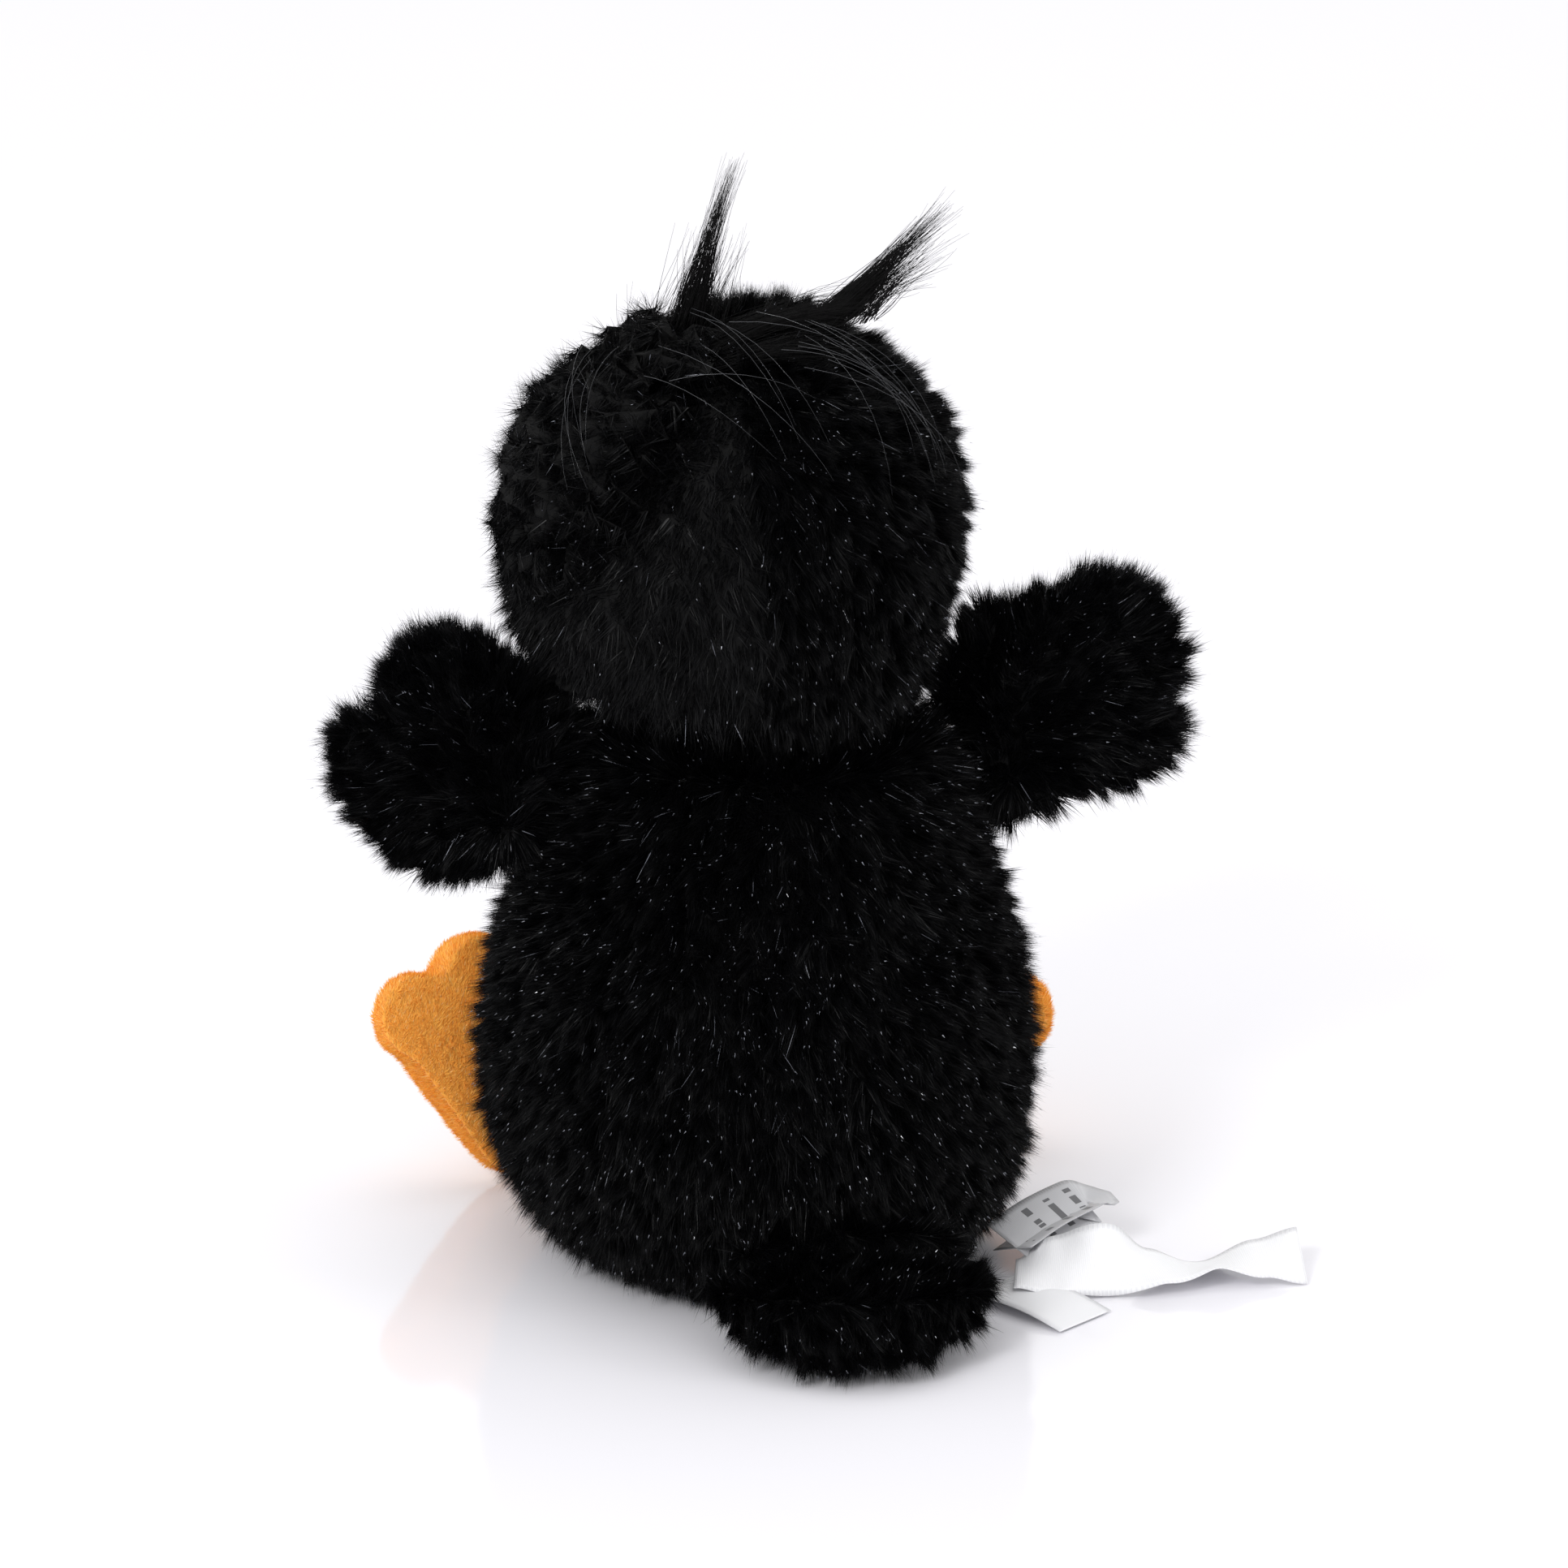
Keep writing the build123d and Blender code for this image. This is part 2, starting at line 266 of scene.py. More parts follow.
@dataclass(frozen=True)
class GlossPlastic(Finish):
    """Moulded black eye or washer plastic, with faint handling marks."""

    name: str
    colour: tuple
    roughness: float = 0.08

    def build(self, graph: Graph) -> Socket:
        """Fine scratches vary the gloss."""
        place = graph.node("ShaderNodeTexCoord").outputs["Object"]
        marks = graph.value("ShaderNodeTexNoise", None, {"Vector": place, "Scale": 900.0, "Detail": 4.0})
        lift = graph.mix(marks, self.colour, tuple(min(1.0, c * 1.6 + 0.004) for c in self.colour))
        return graph.node("ShaderNodeBsdfPrincipled", None, {
            "Base Color": lift, "Roughness": marks * 0.06 + self.roughness, "Specular IOR Level": 0.4,
        }).outputs[0]


@dataclass(frozen=True)
class Satin(Finish):
    """Woven satin ribbon with ribbed selvedges; a care label adds rows of plain printed bars."""

    name: str
    colour: tuple
    shade: tuple
    printed: bool = False
    ribs: float = 46.0
    rows: float = 8.0

    def build(self, graph: Graph) -> Socket:
        """Weave, selvedge beads and print, all on the ribbon's own UV map."""
        across, along = self._uv(graph)
        weave = graph.value("ShaderNodeTexWave", {"wave_type": "BANDS", "bands_direction": "X"}, {
            "Vector": self._stretch(graph, along, across), "Scale": self.ribs, "Distortion": 0.6,
        })
        edge = (across < 0.07) + (across > 0.93)
        beads = ((along * (self.ribs * 1.4)).fraction() > 0.5) * edge
        colour = graph.mix(weave * 0.35 + beads * 0.65, self.colour, self.shade)
        if self.printed:
            colour = graph.mix(self._print(graph, across, along), colour, (0.03, 0.03, 0.035))
        bump = graph.node("ShaderNodeBump", None, {
            "Strength": 0.25, "Distance": 0.1 * MM, "Height": weave + beads,
        })
        return graph.node("ShaderNodeBsdfPrincipled", None, {
            "Base Color": colour, "Roughness": 0.34 + weave * 0.12, "Normal": bump.outputs[0],
            "Specular IOR Level": 0.6, "Sheen Weight": 0.15,
        }).outputs[0]

    @staticmethod
    def _uv(graph: Graph) -> tuple:
        """The ribbon's across and along coordinates, each from 0 to 1."""
        uv = graph.node("ShaderNodeUVMap").outputs[0]
        split = graph.node("ShaderNodeSeparateXYZ", None, {0: uv})
        return Expr(graph, split.outputs[0]), Expr(graph, split.outputs[1])

    @staticmethod
    def _stretch(graph: Graph, along: Expr, across: Expr) -> Socket:
        """A vector with the ribbon's length first."""
        return graph.node("ShaderNodeCombineXYZ", None, {0: along, 1: across}).outputs[0]

    def _print(self, graph: Graph, across: Expr, along: Expr) -> Expr:
        """Short bars in rows, broken up by noise, inside a margin."""
        row = along * self.rows
        cell = graph.node("ShaderNodeCombineXYZ", None, {0: across * 9.0, 1: row.floor() * 3.7}).outputs[0]
        broken = graph.value("ShaderNodeTexNoise", None, {"Vector": cell, "Scale": 1.3, "Detail": 0.0})
        inside = (across > 0.16) * (across < 0.84) * (along > 0.12) * (along < 0.94)
        return (row.fraction() > 0.42) * (row.fraction() < 0.72) * (broken > 0.47) * inside * 0.85


@dataclass(frozen=True)
class Ground(Finish):
    """A pale, lightly polished table."""

    name: str = "pale_ground"

    def build(self, graph: Graph) -> Socket:
        """White with a soft gloss that varies a little."""
        place = graph.node("ShaderNodeTexCoord").outputs["Object"]
        haze = graph.value("ShaderNodeTexNoise", None, {"Vector": place, "Scale": 6.0, "Detail": 2.0})
        return graph.node("ShaderNodeBsdfPrincipled", None, {
            "Base Color": (0.83, 0.82, 0.86), "Roughness": haze * 0.03 + 0.07, "Specular IOR Level": 0.5,
        }).outputs[0]


# The glint fibres are painted highlight: light base colours on a few strands that stand in for specular
# glints on the pile. The root, body and tip shades vary at random from strand to strand.
BLACK_ROOT = Fibre("pile_black_root", (0.0008, 0.0008, 0.0010), 0.6, 0.04)
BLACK_BODY = Fibre("pile_black_body", (0.0013, 0.0013, 0.0016), 0.5, 0.07)
BLACK_TIP = Fibre("pile_black_tip", (0.0026, 0.0027, 0.0033), 0.36, 0.15)
BLACK_GLINT = Fibre("pile_black_glint", (0.22, 0.23, 0.27), 0.2, 1.0)
LONG_HAIR = Fibre("long_hair_black", (0.0020, 0.0018, 0.0020), 0.4, 0.1)
# Stray hairs are the crown's black hair. Their lighter grey base colour is painted highlight, standing in for
# the glints along them.
STRAY_HAIR = Fibre("stray_hair_black", (0.035, 0.036, 0.042), 0.2, 0.8)
WHITE_ROOT = Fibre("pile_white_root", (0.84, 0.83, 0.79), 0.7, 0.2)
WHITE_BODY = Fibre("pile_white_body", (0.91, 0.90, 0.87), 0.6, 0.3)
WHITE_TIP = Fibre("pile_white_tip", (0.95, 0.94, 0.92), 0.5, 0.4)
WHITE_GLINT = Fibre("pile_white_glint", (0.98, 0.98, 0.97), 0.35, 0.6)
ORANGE_ROOT = Fibre("velour_orange_root", (0.93, 0.43, 0.060), 0.8, 0.15)
ORANGE_BODY = Fibre("velour_orange_body", (0.97, 0.51, 0.085), 0.7, 0.25)
ORANGE_TIP = Fibre("velour_orange_tip", (0.99, 0.57, 0.120), 0.6, 0.3)
ORANGE_GLINT = Fibre("velour_orange_glint", (1.0, 0.70, 0.28), 0.45, 0.5)
BLACK_PILE = (BLACK_ROOT, BLACK_BODY, BLACK_TIP, BLACK_GLINT)
WHITE_PILE = (WHITE_ROOT, WHITE_BODY, WHITE_TIP, WHITE_GLINT)
ORANGE_PILE = (ORANGE_ROOT, ORANGE_BODY, ORANGE_TIP, ORANGE_GLINT)
BLACK_BACKING = Cloth("backing_black", (0.0014, 0.0014, 0.0016), (0.0006, 0.0006, 0.0007))
WHITE_BACKING = Cloth("backing_white", (0.86, 0.85, 0.82), (0.72, 0.71, 0.67))
ORANGE_BACKING = Cloth("backing_orange", (0.96, 0.49, 0.09), (0.88, 0.38, 0.055), sheen=0.2)
STUFFING_FILL = Cloth("fibre_fill", (0.90, 0.90, 0.88), (0.66, 0.66, 0.64), grain=900.0)
BEAN_COTTON = Cloth("bean_bag_cotton", (0.80, 0.77, 0.70), (0.62, 0.59, 0.52), grain=1800.0)
EYE_PLASTIC = GlossPlastic("eye_plastic", (0.004, 0.004, 0.005))
WASHER_NYLON = GlossPlastic("washer_nylon", (0.72, 0.72, 0.70), 0.35)
LABEL_SATIN = Satin("label_satin", (0.52, 0.52, 0.54), (0.40, 0.40, 0.42), printed=True)
RIBBON_SATIN = Satin("ribbon_satin", (0.80, 0.80, 0.82), (0.70, 0.70, 0.73))


# ---- mesh helpers ----------------------------------------------------------
def link(name: str, mesh: bpy.types.Mesh) -> Piece:
    """A new object at the origin that holds the mesh."""
    made = bpy.data.objects.new(name, mesh)
    bpy.context.scene.collection.objects.link(made)
    return made


def evaluated_mesh(source: Piece) -> bpy.types.Mesh:
    """The object's mesh with its modifiers applied."""
    graph = bpy.context.evaluated_depsgraph_get()
    graph.update()
    return bpy.data.meshes.new_from_object(source.evaluated_get(graph), depsgraph=graph)


def drop(*objects: Piece) -> None:
    """Removes scratch objects."""
    for item in objects:
        bpy.data.objects.remove(item, do_unlink=True)


def largest_shell(mesh: bpy.types.Mesh) -> None:
    """Keeps only the connected shell with the most vertices."""
    work = bmesh.new()
    work.from_mesh(mesh)
    left = set(work.verts)
    shells = []
    while left:
        seed = left.pop()
        shell, edge = {seed}, [seed]
        while edge:
            vert = edge.pop()
            for near in (e.other_vert(vert) for e in vert.link_edges):
                if near in left:
                    left.discard(near)
                    shell.add(near)
                    edge.append(near)
        shells.append(shell)
    biggest = max(shells, key=len)
    loose = [vert for shell in shells if shell is not biggest for vert in shell]
    bmesh.ops.delete(work, geom=loose, context="VERTS")
    bmesh.ops.recalc_face_normals(work, faces=work.faces)
    work.to_mesh(mesh)
    work.free()


@dataclass(frozen=True)
class Pad:
    """Extra filling where a skin bulges past its panels: a ball stretched on its axes, in millimetres."""

    middle: tuple
    radii: tuple


def sewn_skin(name: str, nodes: Sequence[str], voxel: float, inset: float, rounds: int,
              ease: Optional[Reach] = None, pads: Sequence[Pad] = ()) -> Piece:
    """One closed cloth skin over a group of CAD nodes.

    Args:
        name: the new piece's name.
        nodes: the CAD nodes whose outer surface it follows.
        voxel: the size of its faces, in metres.
        inset: how far it lies inside that surface, in metres.
        rounds: rounds of smoothing, which turn hard rims into rolled seams.
        ease: the share of the inset at a point, where it isn't the same all over.
        pads: extra filling under the skin.

    Returns:
        The skin, as a smooth mesh.
    """
    joined = bmesh.new()
    for node in nodes:
        joined.from_mesh(frame["nodes"][node].data)
    for pad in pads:
        size = Matrix.Diagonal((*(Vector(pad.radii) * MM), 1.0))
        shape = Matrix.Translation(Vector(pad.middle) * MM) @ size
        bmesh.ops.create_icosphere(joined, subdivisions=4, radius=1.0, matrix=shape)
    rough = bpy.data.meshes.new(name)
    joined.to_mesh(rough)
    joined.free()
    scratch = link(name + "_scratch", rough)
    remesh = scratch.modifiers.new("remesh", "REMESH")
    remesh.mode = "VOXEL"
    remesh.voxel_size = voxel
    smooth = scratch.modifiers.new("smooth", "SMOOTH")
    smooth.factor = 0.5
    smooth.iterations = rounds
    mesh = evaluated_mesh(scratch)
    drop(scratch)
    largest_shell(mesh)
    for vert, normal in zip(mesh.vertices, [v.normal.copy() for v in mesh.vertices]):
        vert.co -= normal * (inset * ease(vert.co) if ease else inset)
    mesh.shade_smooth()
    mesh.name = name
    return link(name, mesh)


def blade(name: str, start: float) -> Piece:
    """One strand of unit size that ends in a point. It starts at this share of its length."""
    mesh = bpy.data.meshes.new(name)
    mesh.from_pydata([(-0.5, 0, start), (0.5, 0, start), (0, 0, 1)], [], [(0, 1, 2)])
    made = link(name, mesh)
    made.hide_render = True
    return made


# ---- pile ------------------------------------------------------------------
PILE_INPUTS = {
    "Strand": "NodeSocketObject", "Density": "NodeSocketFloat", "Length": "NodeSocketFloat",
    "Width": "NodeSocketFloat", "Lift": "NodeSocketFloat", "Wander": "NodeSocketFloat",
    "Wander Size": "NodeSocketFloat", "Lock Size": "NodeSocketFloat", "Lock Pull": "NodeSocketFloat",
    "Lock Sway": "NodeSocketFloat", "Jitter": "NodeSocketFloat", "Glints": "NodeSocketFloat",
    "Seed": "NodeSocketInt", "Root": "NodeSocketMaterial", "Body": "NodeSocketMaterial",
    "Tip": "NodeSocketMaterial", "Glint": "NodeSocketMaterial",
}


def pile_tree() -> bpy.types.NodeTree:
    """The Geometry Nodes tree that grows a pile from a skin, in locks that lean and part."""
    known = bpy.data.node_groups.get("pile")
    if known:
        return known
    tree = bpy.data.node_groups.new("pile", "GeometryNodeTree")
    tree.interface.new_socket("Geometry", in_out="INPUT", socket_type="NodeSocketGeometry")
    for name, kind in PILE_INPUTS.items():
        tree.interface.new_socket(name, in_out="INPUT", socket_type=kind)
    tree.interface.new_socket("Geometry", in_out="OUTPUT", socket_type="NodeSocketGeometry")
    g = Graph(tree)
    given = g.node("NodeGroupInput").outputs

    def size(name: str) -> Expr:
        """One of the tree's inputs as an expression."""
        return Expr(g, given[name])

    def chance(low: Link, high: Link, offset: int) -> Expr:
        """A random number for each strand."""
        inputs = {2: low, 3: high, "Seed": size("Seed") + offset}
        return g.value("FunctionNodeRandomValue", {"data_type": "FLOAT"}, inputs, 1)

    reach = g.value("GeometryNodeInputNamedAttribute", {"data_type": "FLOAT"}, {"Name": "reach"})
    combed = g.node("GeometryNodeInputNamedAttribute", {"data_type": "FLOAT_VECTOR"}, {"Name": "comb"})
    scatter = g.node("GeometryNodeDistributePointsOnFaces", {"distribute_method": "RANDOM"},
                     {"Mesh": given["Geometry"], "Density": size("Density"), "Seed": size("Seed")})
    normal = scatter.outputs["Normal"]
    place = g.node("GeometryNodeInputPosition").outputs[0]
    guard = (chance(0.0, 1.0, 4) > GUARD_HAIRS) * GUARD_EXTRA
    length = size("Length") * reach * (chance(*STRAND_LENGTHS, 1) + guard)

    wander = {"Vector": place, "Scale": size("Wander Size"), "Detail": 1.5}
    flow = g.vector("SUBTRACT", g.node("ShaderNodeTexNoise", None, wander).outputs[1], (0.5, 0.5, 0.5))
    lock = g.node("ShaderNodeTexVoronoi", None, {"Vector": place, "Scale": size("Lock Size")})
    lean = g.vector("SUBTRACT", lock.outputs["Color"], (0.5, 0.5, 0.5))
    loose = g.node("FunctionNodeRandomValue", {"data_type": "FLOAT_VECTOR"},
                   {0: (-1, -1, -1), 1: (1, 1, 1), "Seed": size("Seed") + 7}).outputs[0]
    way = g.vector("ADD", combed.outputs[0], g.vector("SCALE", normal, None, size("Lift")))
    way = g.vector("ADD", way, g.vector("SCALE", flow, None, size("Wander")))
    way = g.vector("ADD", way, g.vector("SCALE", lean, None, size("Lock Sway")))
    way = g.vector("ADD", way, g.vector("SCALE", loose, None, size("Jitter")))
    way = g.vector("SCALE", g.vector("NORMALIZE", way), None, length)
    to_lock = g.vector("SUBTRACT", lock.outputs["Position"], place)
    way = g.vector("ADD", way, g.vector("SCALE", to_lock, None, size("Lock Pull") * reach))
    span = Expr(g, g.vector("LENGTH", way))

    turn = g.node("FunctionNodeAlignRotationToVector", {"axis": "Z"}, {"Vector": way}).outputs[0]
    inward = g.vector("ADD", g.vector("SCALE", normal, None, -1.0), g.vector("SCALE", loose, None, 0.6))
    turn = g.node("FunctionNodeAlignRotationToVector", {"axis": "Y", "pivot_axis": "Z"},
                  {"Rotation": turn, "Vector": inward}).outputs[0]
    width = size("Width") * chance(*STRAND_WIDTHS, 2)
    scale = g.node("ShaderNodeCombineXYZ", None, {0: width, 1: span, 2: span}).outputs[0]
    strand = g.node("GeometryNodeObjectInfo", {"transform_space": "ORIGINAL"},
                    {"Object": given["Strand"], "As Instance": True}).outputs["Geometry"]
    grown = g.node("GeometryNodeInstanceOnPoints", None, {
        "Points": scatter.outputs["Points"], "Instance": strand, "Rotation": turn, "Scale": scale,
    }).outputs[0]
    tagged = g.node("GeometryNodeStoreNamedAttribute", {"data_type": "FLOAT", "domain": "INSTANCE"},
                    {"Geometry": grown, "Name": "shade", "Value": chance(0.0, 1.0, 3)}).outputs[0]
    mesh = g.node("GeometryNodeRealizeInstances", None, {"Geometry": tagged}).outputs[0]

    shade = g.value("GeometryNodeInputNamedAttribute", {"data_type": "FLOAT"}, {"Name": "shade"})
    # Each strand gets Root, then Body or Tip by its random shade. The Glint coat on a few strands is painted
    # highlight.
    coats = (
        ("Root", None),
        ("Body", shade > BODY_SHADE),
        ("Tip", shade > TIP_SHADE),
        ("Glint", shade < size("Glints")),
    )
    for name, where in coats:
        coat = {"Geometry": mesh, "Selection": where, "Material": given[name]}
        mesh = g.node("GeometryNodeSetMaterial", None, coat).outputs[0]
    g.node("NodeGroupOutput", None, {0: mesh})
    return tree


@dataclass
class Pelt:
    """A pile of strands on part of a skin."""

    name: str
    shades: tuple
    strands: int
    length: float = 5.4 * MM
    width: float = 0.16 * MM
    lift: float = 0.95
    wander: float = 1.2
    wander_size: float = 95.0
    lock_size: float = 400.0
    lock_pull: float = 0.88
    lock_sway: float = 1.25
    jitter: float = 0.4
    glints: float = 0.002
    # How many painted glints: short strand tips, all in the light glint fibre, a painted highlight.
    painted_glints: int = 0
    seed: int = 1

    def grow(self, skin: Piece, keep: Test, comb: Comb, reach: Optional[Reach] = None) -> Piece:
        """Grows the pile and returns it as one plain mesh.

        Args:
            skin: the closed skin that it grows from.
            keep: whether a face with this centre carries the pile.
            comb: the way that the pile lies at a point with this normal.
            reach: the length there, as a share of the full length.

        Returns:
            The pile as a new object.
        """
        ground, area = self._ground(skin, keep, comb, reach or (lambda point: 1.0))
        made = self._layer(ground, area, self.name, self.strands, 0.0, self.glints, self.width, self.seed)
        # The second layer is painted highlight: short strand tips, all in the glint fibre.
        if self.painted_glints:
            painted_glints = self._layer(ground, area, self.name + "_flecks", self.painted_glints, PAINTED_GLINT_START, 1.0,
                                 self.width, self.seed + PAINTED_GLINT_SEED)
            with bpy.context.temp_override(active_object=made, selected_editable_objects=[made, painted_glints]):
                bpy.ops.object.join()
        drop(ground)
        LOG.info("%s: %d faces", self.name, len(made.data.polygons))
        return made

    def _layer(self, ground: Piece, area: float, name: str, strands: int, start: float,
               glints: float, width: float, seed: int) -> Piece:
        """One layer of strands, as a plain mesh.

        Args:
            ground: the part of the skin that it grows from.
            area: the ground's area.
            name: the new object's name.
            strands: how many there are.
            start: the share of its length at which each strand begins to show.
            glints: the share of strands in the glint shade, a painted highlight.
            width: a strand's width.
            seed: the layer's seed.

        Returns:
            The layer.
        """
        strand = blade(name + "_strand", start)
        grower = ground.modifiers.new("pile", "NODES")
        grower.node_group = pile_tree()
        root, body, tip, glint = (shade.material() for shade in self.shades)
        values = {
            "Strand": strand, "Density": strands / area, "Length": self.length, "Width": width,
            "Lift": self.lift, "Wander": self.wander, "Wander Size": self.wander_size,
            "Lock Size": self.lock_size, "Lock Pull": self.lock_pull, "Lock Sway": self.lock_sway,
            "Jitter": self.jitter, "Glints": glints, "Seed": seed,
            "Root": root, "Body": body, "Tip": tip, "Glint": glint,
        }
        for item in grower.node_group.interface.items_tree:
            if item.in_out == "INPUT" and item.name in values:
                grower[item.identifier] = values[item.name]
        mesh = evaluated_mesh(ground)
        ground.modifiers.remove(grower)
        drop(strand)
        self._lay_on_ground(mesh)
        mesh.name = name
        return link(name, mesh)

    @staticmethod
    def _lay_on_ground(mesh: bpy.types.Mesh) -> None:
        """Bends strands that would go through the ground so that they lie on it."""
        places = np.empty(len(mesh.vertices) * 3, np.float32)
        mesh.vertices.foreach_get("co", places)
        places[2::3] = np.maximum(places[2::3], GROUND_GAP)
        mesh.vertices.foreach_set("co", places)
        mesh.update()

    def _ground(self, skin: Piece, keep: Test, comb: Comb, reach: Reach) -> tuple:
        """The part of the skin that carries the pile, with its comb and reach, and its area."""
        source = skin.data
        faces = [p for p in source.polygons if keep(p.center)]
        used = sorted({index for face in faces for index in face.vertices})
        place = {old: new for new, old in enumerate(used)}
        mesh = bpy.data.meshes.new(self.name + "_ground")
        points = [source.vertices[index].co.copy() for index in used]
        mesh.from_pydata(points, [], [[place[i] for i in face.vertices] for face in faces])
        ways = []
        for index, point in zip(used, points):
            normal = source.vertices[index].normal
            way = comb(point, normal)
            way = way - normal * way.dot(normal)
            ways.extend(way.normalized() if way.length > 1e-9 else Vector((1, 0, 0)))
        mesh.attributes.new("comb", "FLOAT_VECTOR", "POINT").data.foreach_set("vector", ways)
        mesh.attributes.new("reach", "FLOAT", "POINT").data.foreach_set("value", [reach(p) for p in points])
        return link(mesh.name, mesh), sum(face.area for face in faces)


def finish_piece(piece: Piece, body: str, slot: str, replaced: Sequence[str] = (),
                 fill: Optional[float] = None) -> None:
    """Attaches a piece to the body that it rides on, and hides the nodes that it stands for."""
    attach(piece, body)
    if replaced:
        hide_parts(*replaced)
    LOG.info("%s rides on %s", piece.name, body)


def dress(piece: Piece, finish: Finish) -> None:
    """Gives a piece one finish all over."""
    piece.data.materials.clear()
    piece.data.materials.append(finish.material())


def inlay(skin: Piece, finish: Finish, inside: Test) -> None:
    """Gives the part of a skin that passes the test a second finish."""
    skin.data.materials.append(finish.material())
    for face in skin.data.polygons:
        if inside(face.center):
            face.material_index = 1


def ramp(value: float, low: float, high: float) -> float:
    """0 below low, 1 above high, and a smooth step between."""
    share = min(1.0, max(0.0, (value - low) / (high - low)))
    return share * share * (3 - 2 * share)


def fall(point: Vector, normal: Vector) -> Vector:
    """Pile that is combed straight down."""
    return DOWN


# ---- sub-assemblies --------------------------------------------------------
@dataclass
class Torso:
    """The pear-shaped body: black back, white belly, flat seat."""

    voxel: float = 1.7 * MM
    inset: float = 4.1 * MM
    lean: float = 2.0 * MM
    strands: int = 150000
    waist: float = 0.47
    neck_out: tuple = (24 * MM, 40 * MM)
    neck_up: tuple = (70 * MM, 84 * MM)
    belly: tuple = field(default_factory=lambda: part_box("torso_belly_panel"))
    nodes: tuple = (
        "torso_seat_panel", "torso_belly_panel", "torso_back_left_panel", "torso_back_right_panel",
    )

    def build(self) -> None:
        """Makes the skin and its piles."""
        nodes = (*self.nodes, "torso_stuffing")
        skin = sewn_skin("torso_skin", nodes, self.voxel, self.inset, 4, self._ease)
        self._settle(skin)
        dress(skin, BLACK_BACKING)
        inlay(skin, WHITE_BACKING, self.on_belly)
        finish_piece(skin, "torso", "plush_black", nodes, 0.8)
        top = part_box("torso_back_left_panel")[1][2]
        middle = top * self.waist
        for name, side in (("left", 1), ("right", -1)):
            self._pelt(f"torso_{name}_upper_pile", skin, side, middle, top * 2, 11 + side)
            self._pelt(f"torso_{name}_lower_pile", skin, side, -top, middle, 15 + side)
        belly = Pelt("belly_pile", WHITE_PILE, 52000, length=4.6 * MM, seed=21).grow(
            skin, self.on_belly, fall, self.near_seat)
        finish_piece(belly, "torso", "plush_white")

    def _ease(self, point: Vector) -> float:
        """Full inset all over, and little at the neck, where the cloth is pulled tight."""
        out = ramp(math.hypot(point.x, point.y), *self.neck_out)
        return 0.2 + 0.8 * max(out, 1 - ramp(point.z, *self.neck_up))

    def _settle(self, skin: Piece) -> None:
        """Keeps the skin's seat flat and just above the ground, and leans the body to its left."""
        for vert in skin.data.vertices:
            vert.co.z = max(vert.co.z, 1.0 * MM)
            lean = self.lean * ramp(vert.co.z, 4 * MM, 36 * MM)
            vert.co.x += lean * (1 - ramp(vert.co.z, 60 * MM, 84 * MM))

    def _pelt(self, name: str, skin: Piece, side: int, low: float, high: float, seed: int) -> None:
        """One quarter of the black pile."""

        def keep(point: Vector) -> bool:
            """On this side, between these heights, off the belly and the seat."""
            mine = point.x * side >= 0 and low <= point.z < high
            return mine and not self.on_belly(point) and not self._seat(point)

        pile = Pelt(name, BLACK_PILE, self.strands, painted_glints=1500, seed=seed)
        finish_piece(pile.grow(skin, keep, self._comb, self.near_seat), "torso", "plush_black")

    def _comb(self, point: Vector, normal: Vector) -> Vector:
        """Down the body, and outwards where it nears the ground."""
        out = Vector((point.x, point.y, 0)).normalized()
        return DOWN + out * max(0.0, 0.9 - point.z / (18 * MM))

    def _seat(self, point: Vector) -> bool:
        """The flat underside, which carries no visible pile."""
        return point.z < 1.3 * MM and math.hypot(point.x, point.y) < 30 * MM

    def near_seat(self, point: Vector) -> float:
        """Shorter pile close to the ground and inside the neck crease."""
        low = min(1.0, 0.35 + point.z / (9 * MM))
        crease = 0.45 + 0.75 * ramp(math.hypot(point.x, point.y), 18 * MM, 26 * MM)
        return low if point.z < 60 * MM else 1.0 + (crease - 1.0) * ramp(point.z, 76 * MM, 86 * MM)

    def on_belly(self, point: Vector) -> bool:
        """Inside the white belly panel."""
        (x0, _, z0), (x1, _, z1) = self.belly
        across = (point.x - (x0 + x1) / 2) / ((x1 - x0) / 2)
        up = (point.z - (z0 + z1) / 2) / ((z1 - z0) / 2)
        return point.y < 0 and across * across + up * up < 1


@dataclass
class Neck:
    """The short stuffed neck in the crease."""

    folds: int = 26
    fold_depth: float = 0.35 * MM
    pile_band: float = 9 * MM

    def build(self) -> None:
        """A plain black cloth ball with gathered folds."""
        skin = sewn_skin("neck_cloth", ("neck_skin", "neck_stuffing"), 1.3 * MM, 0.7 * MM, 3)
        centre = (Vector(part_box("neck_skin")[0]) + Vector(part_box("neck_skin")[1])) / 2
        for vert in skin.data.vertices:
            angle = math.atan2(vert.co.y - centre.y, vert.co.x - centre.x)
            vert.co += vert.normal * (self.fold_depth * math.sin(angle * self.folds))
        dress(skin, BLACK_BACKING)
        finish_piece(skin, "neck", "plush_black", ("neck_skin", "neck_stuffing"), 0.7)

        def outward(point: Vector, normal: Vector) -> Vector:
            """Away from the neck's axis."""
            return Vector((point.x - centre.x, point.y - centre.y, 0)) - Vector((0, 0, 4 * MM))

        pile = Pelt("neck_pile", BLACK_PILE, 24000, length=7.0 * MM, seed=25)
        grown = pile.grow(skin, lambda p: abs(p.z - centre.z) < self.pile_band, outward)
        finish_piece(grown, "neck", "plush_black")


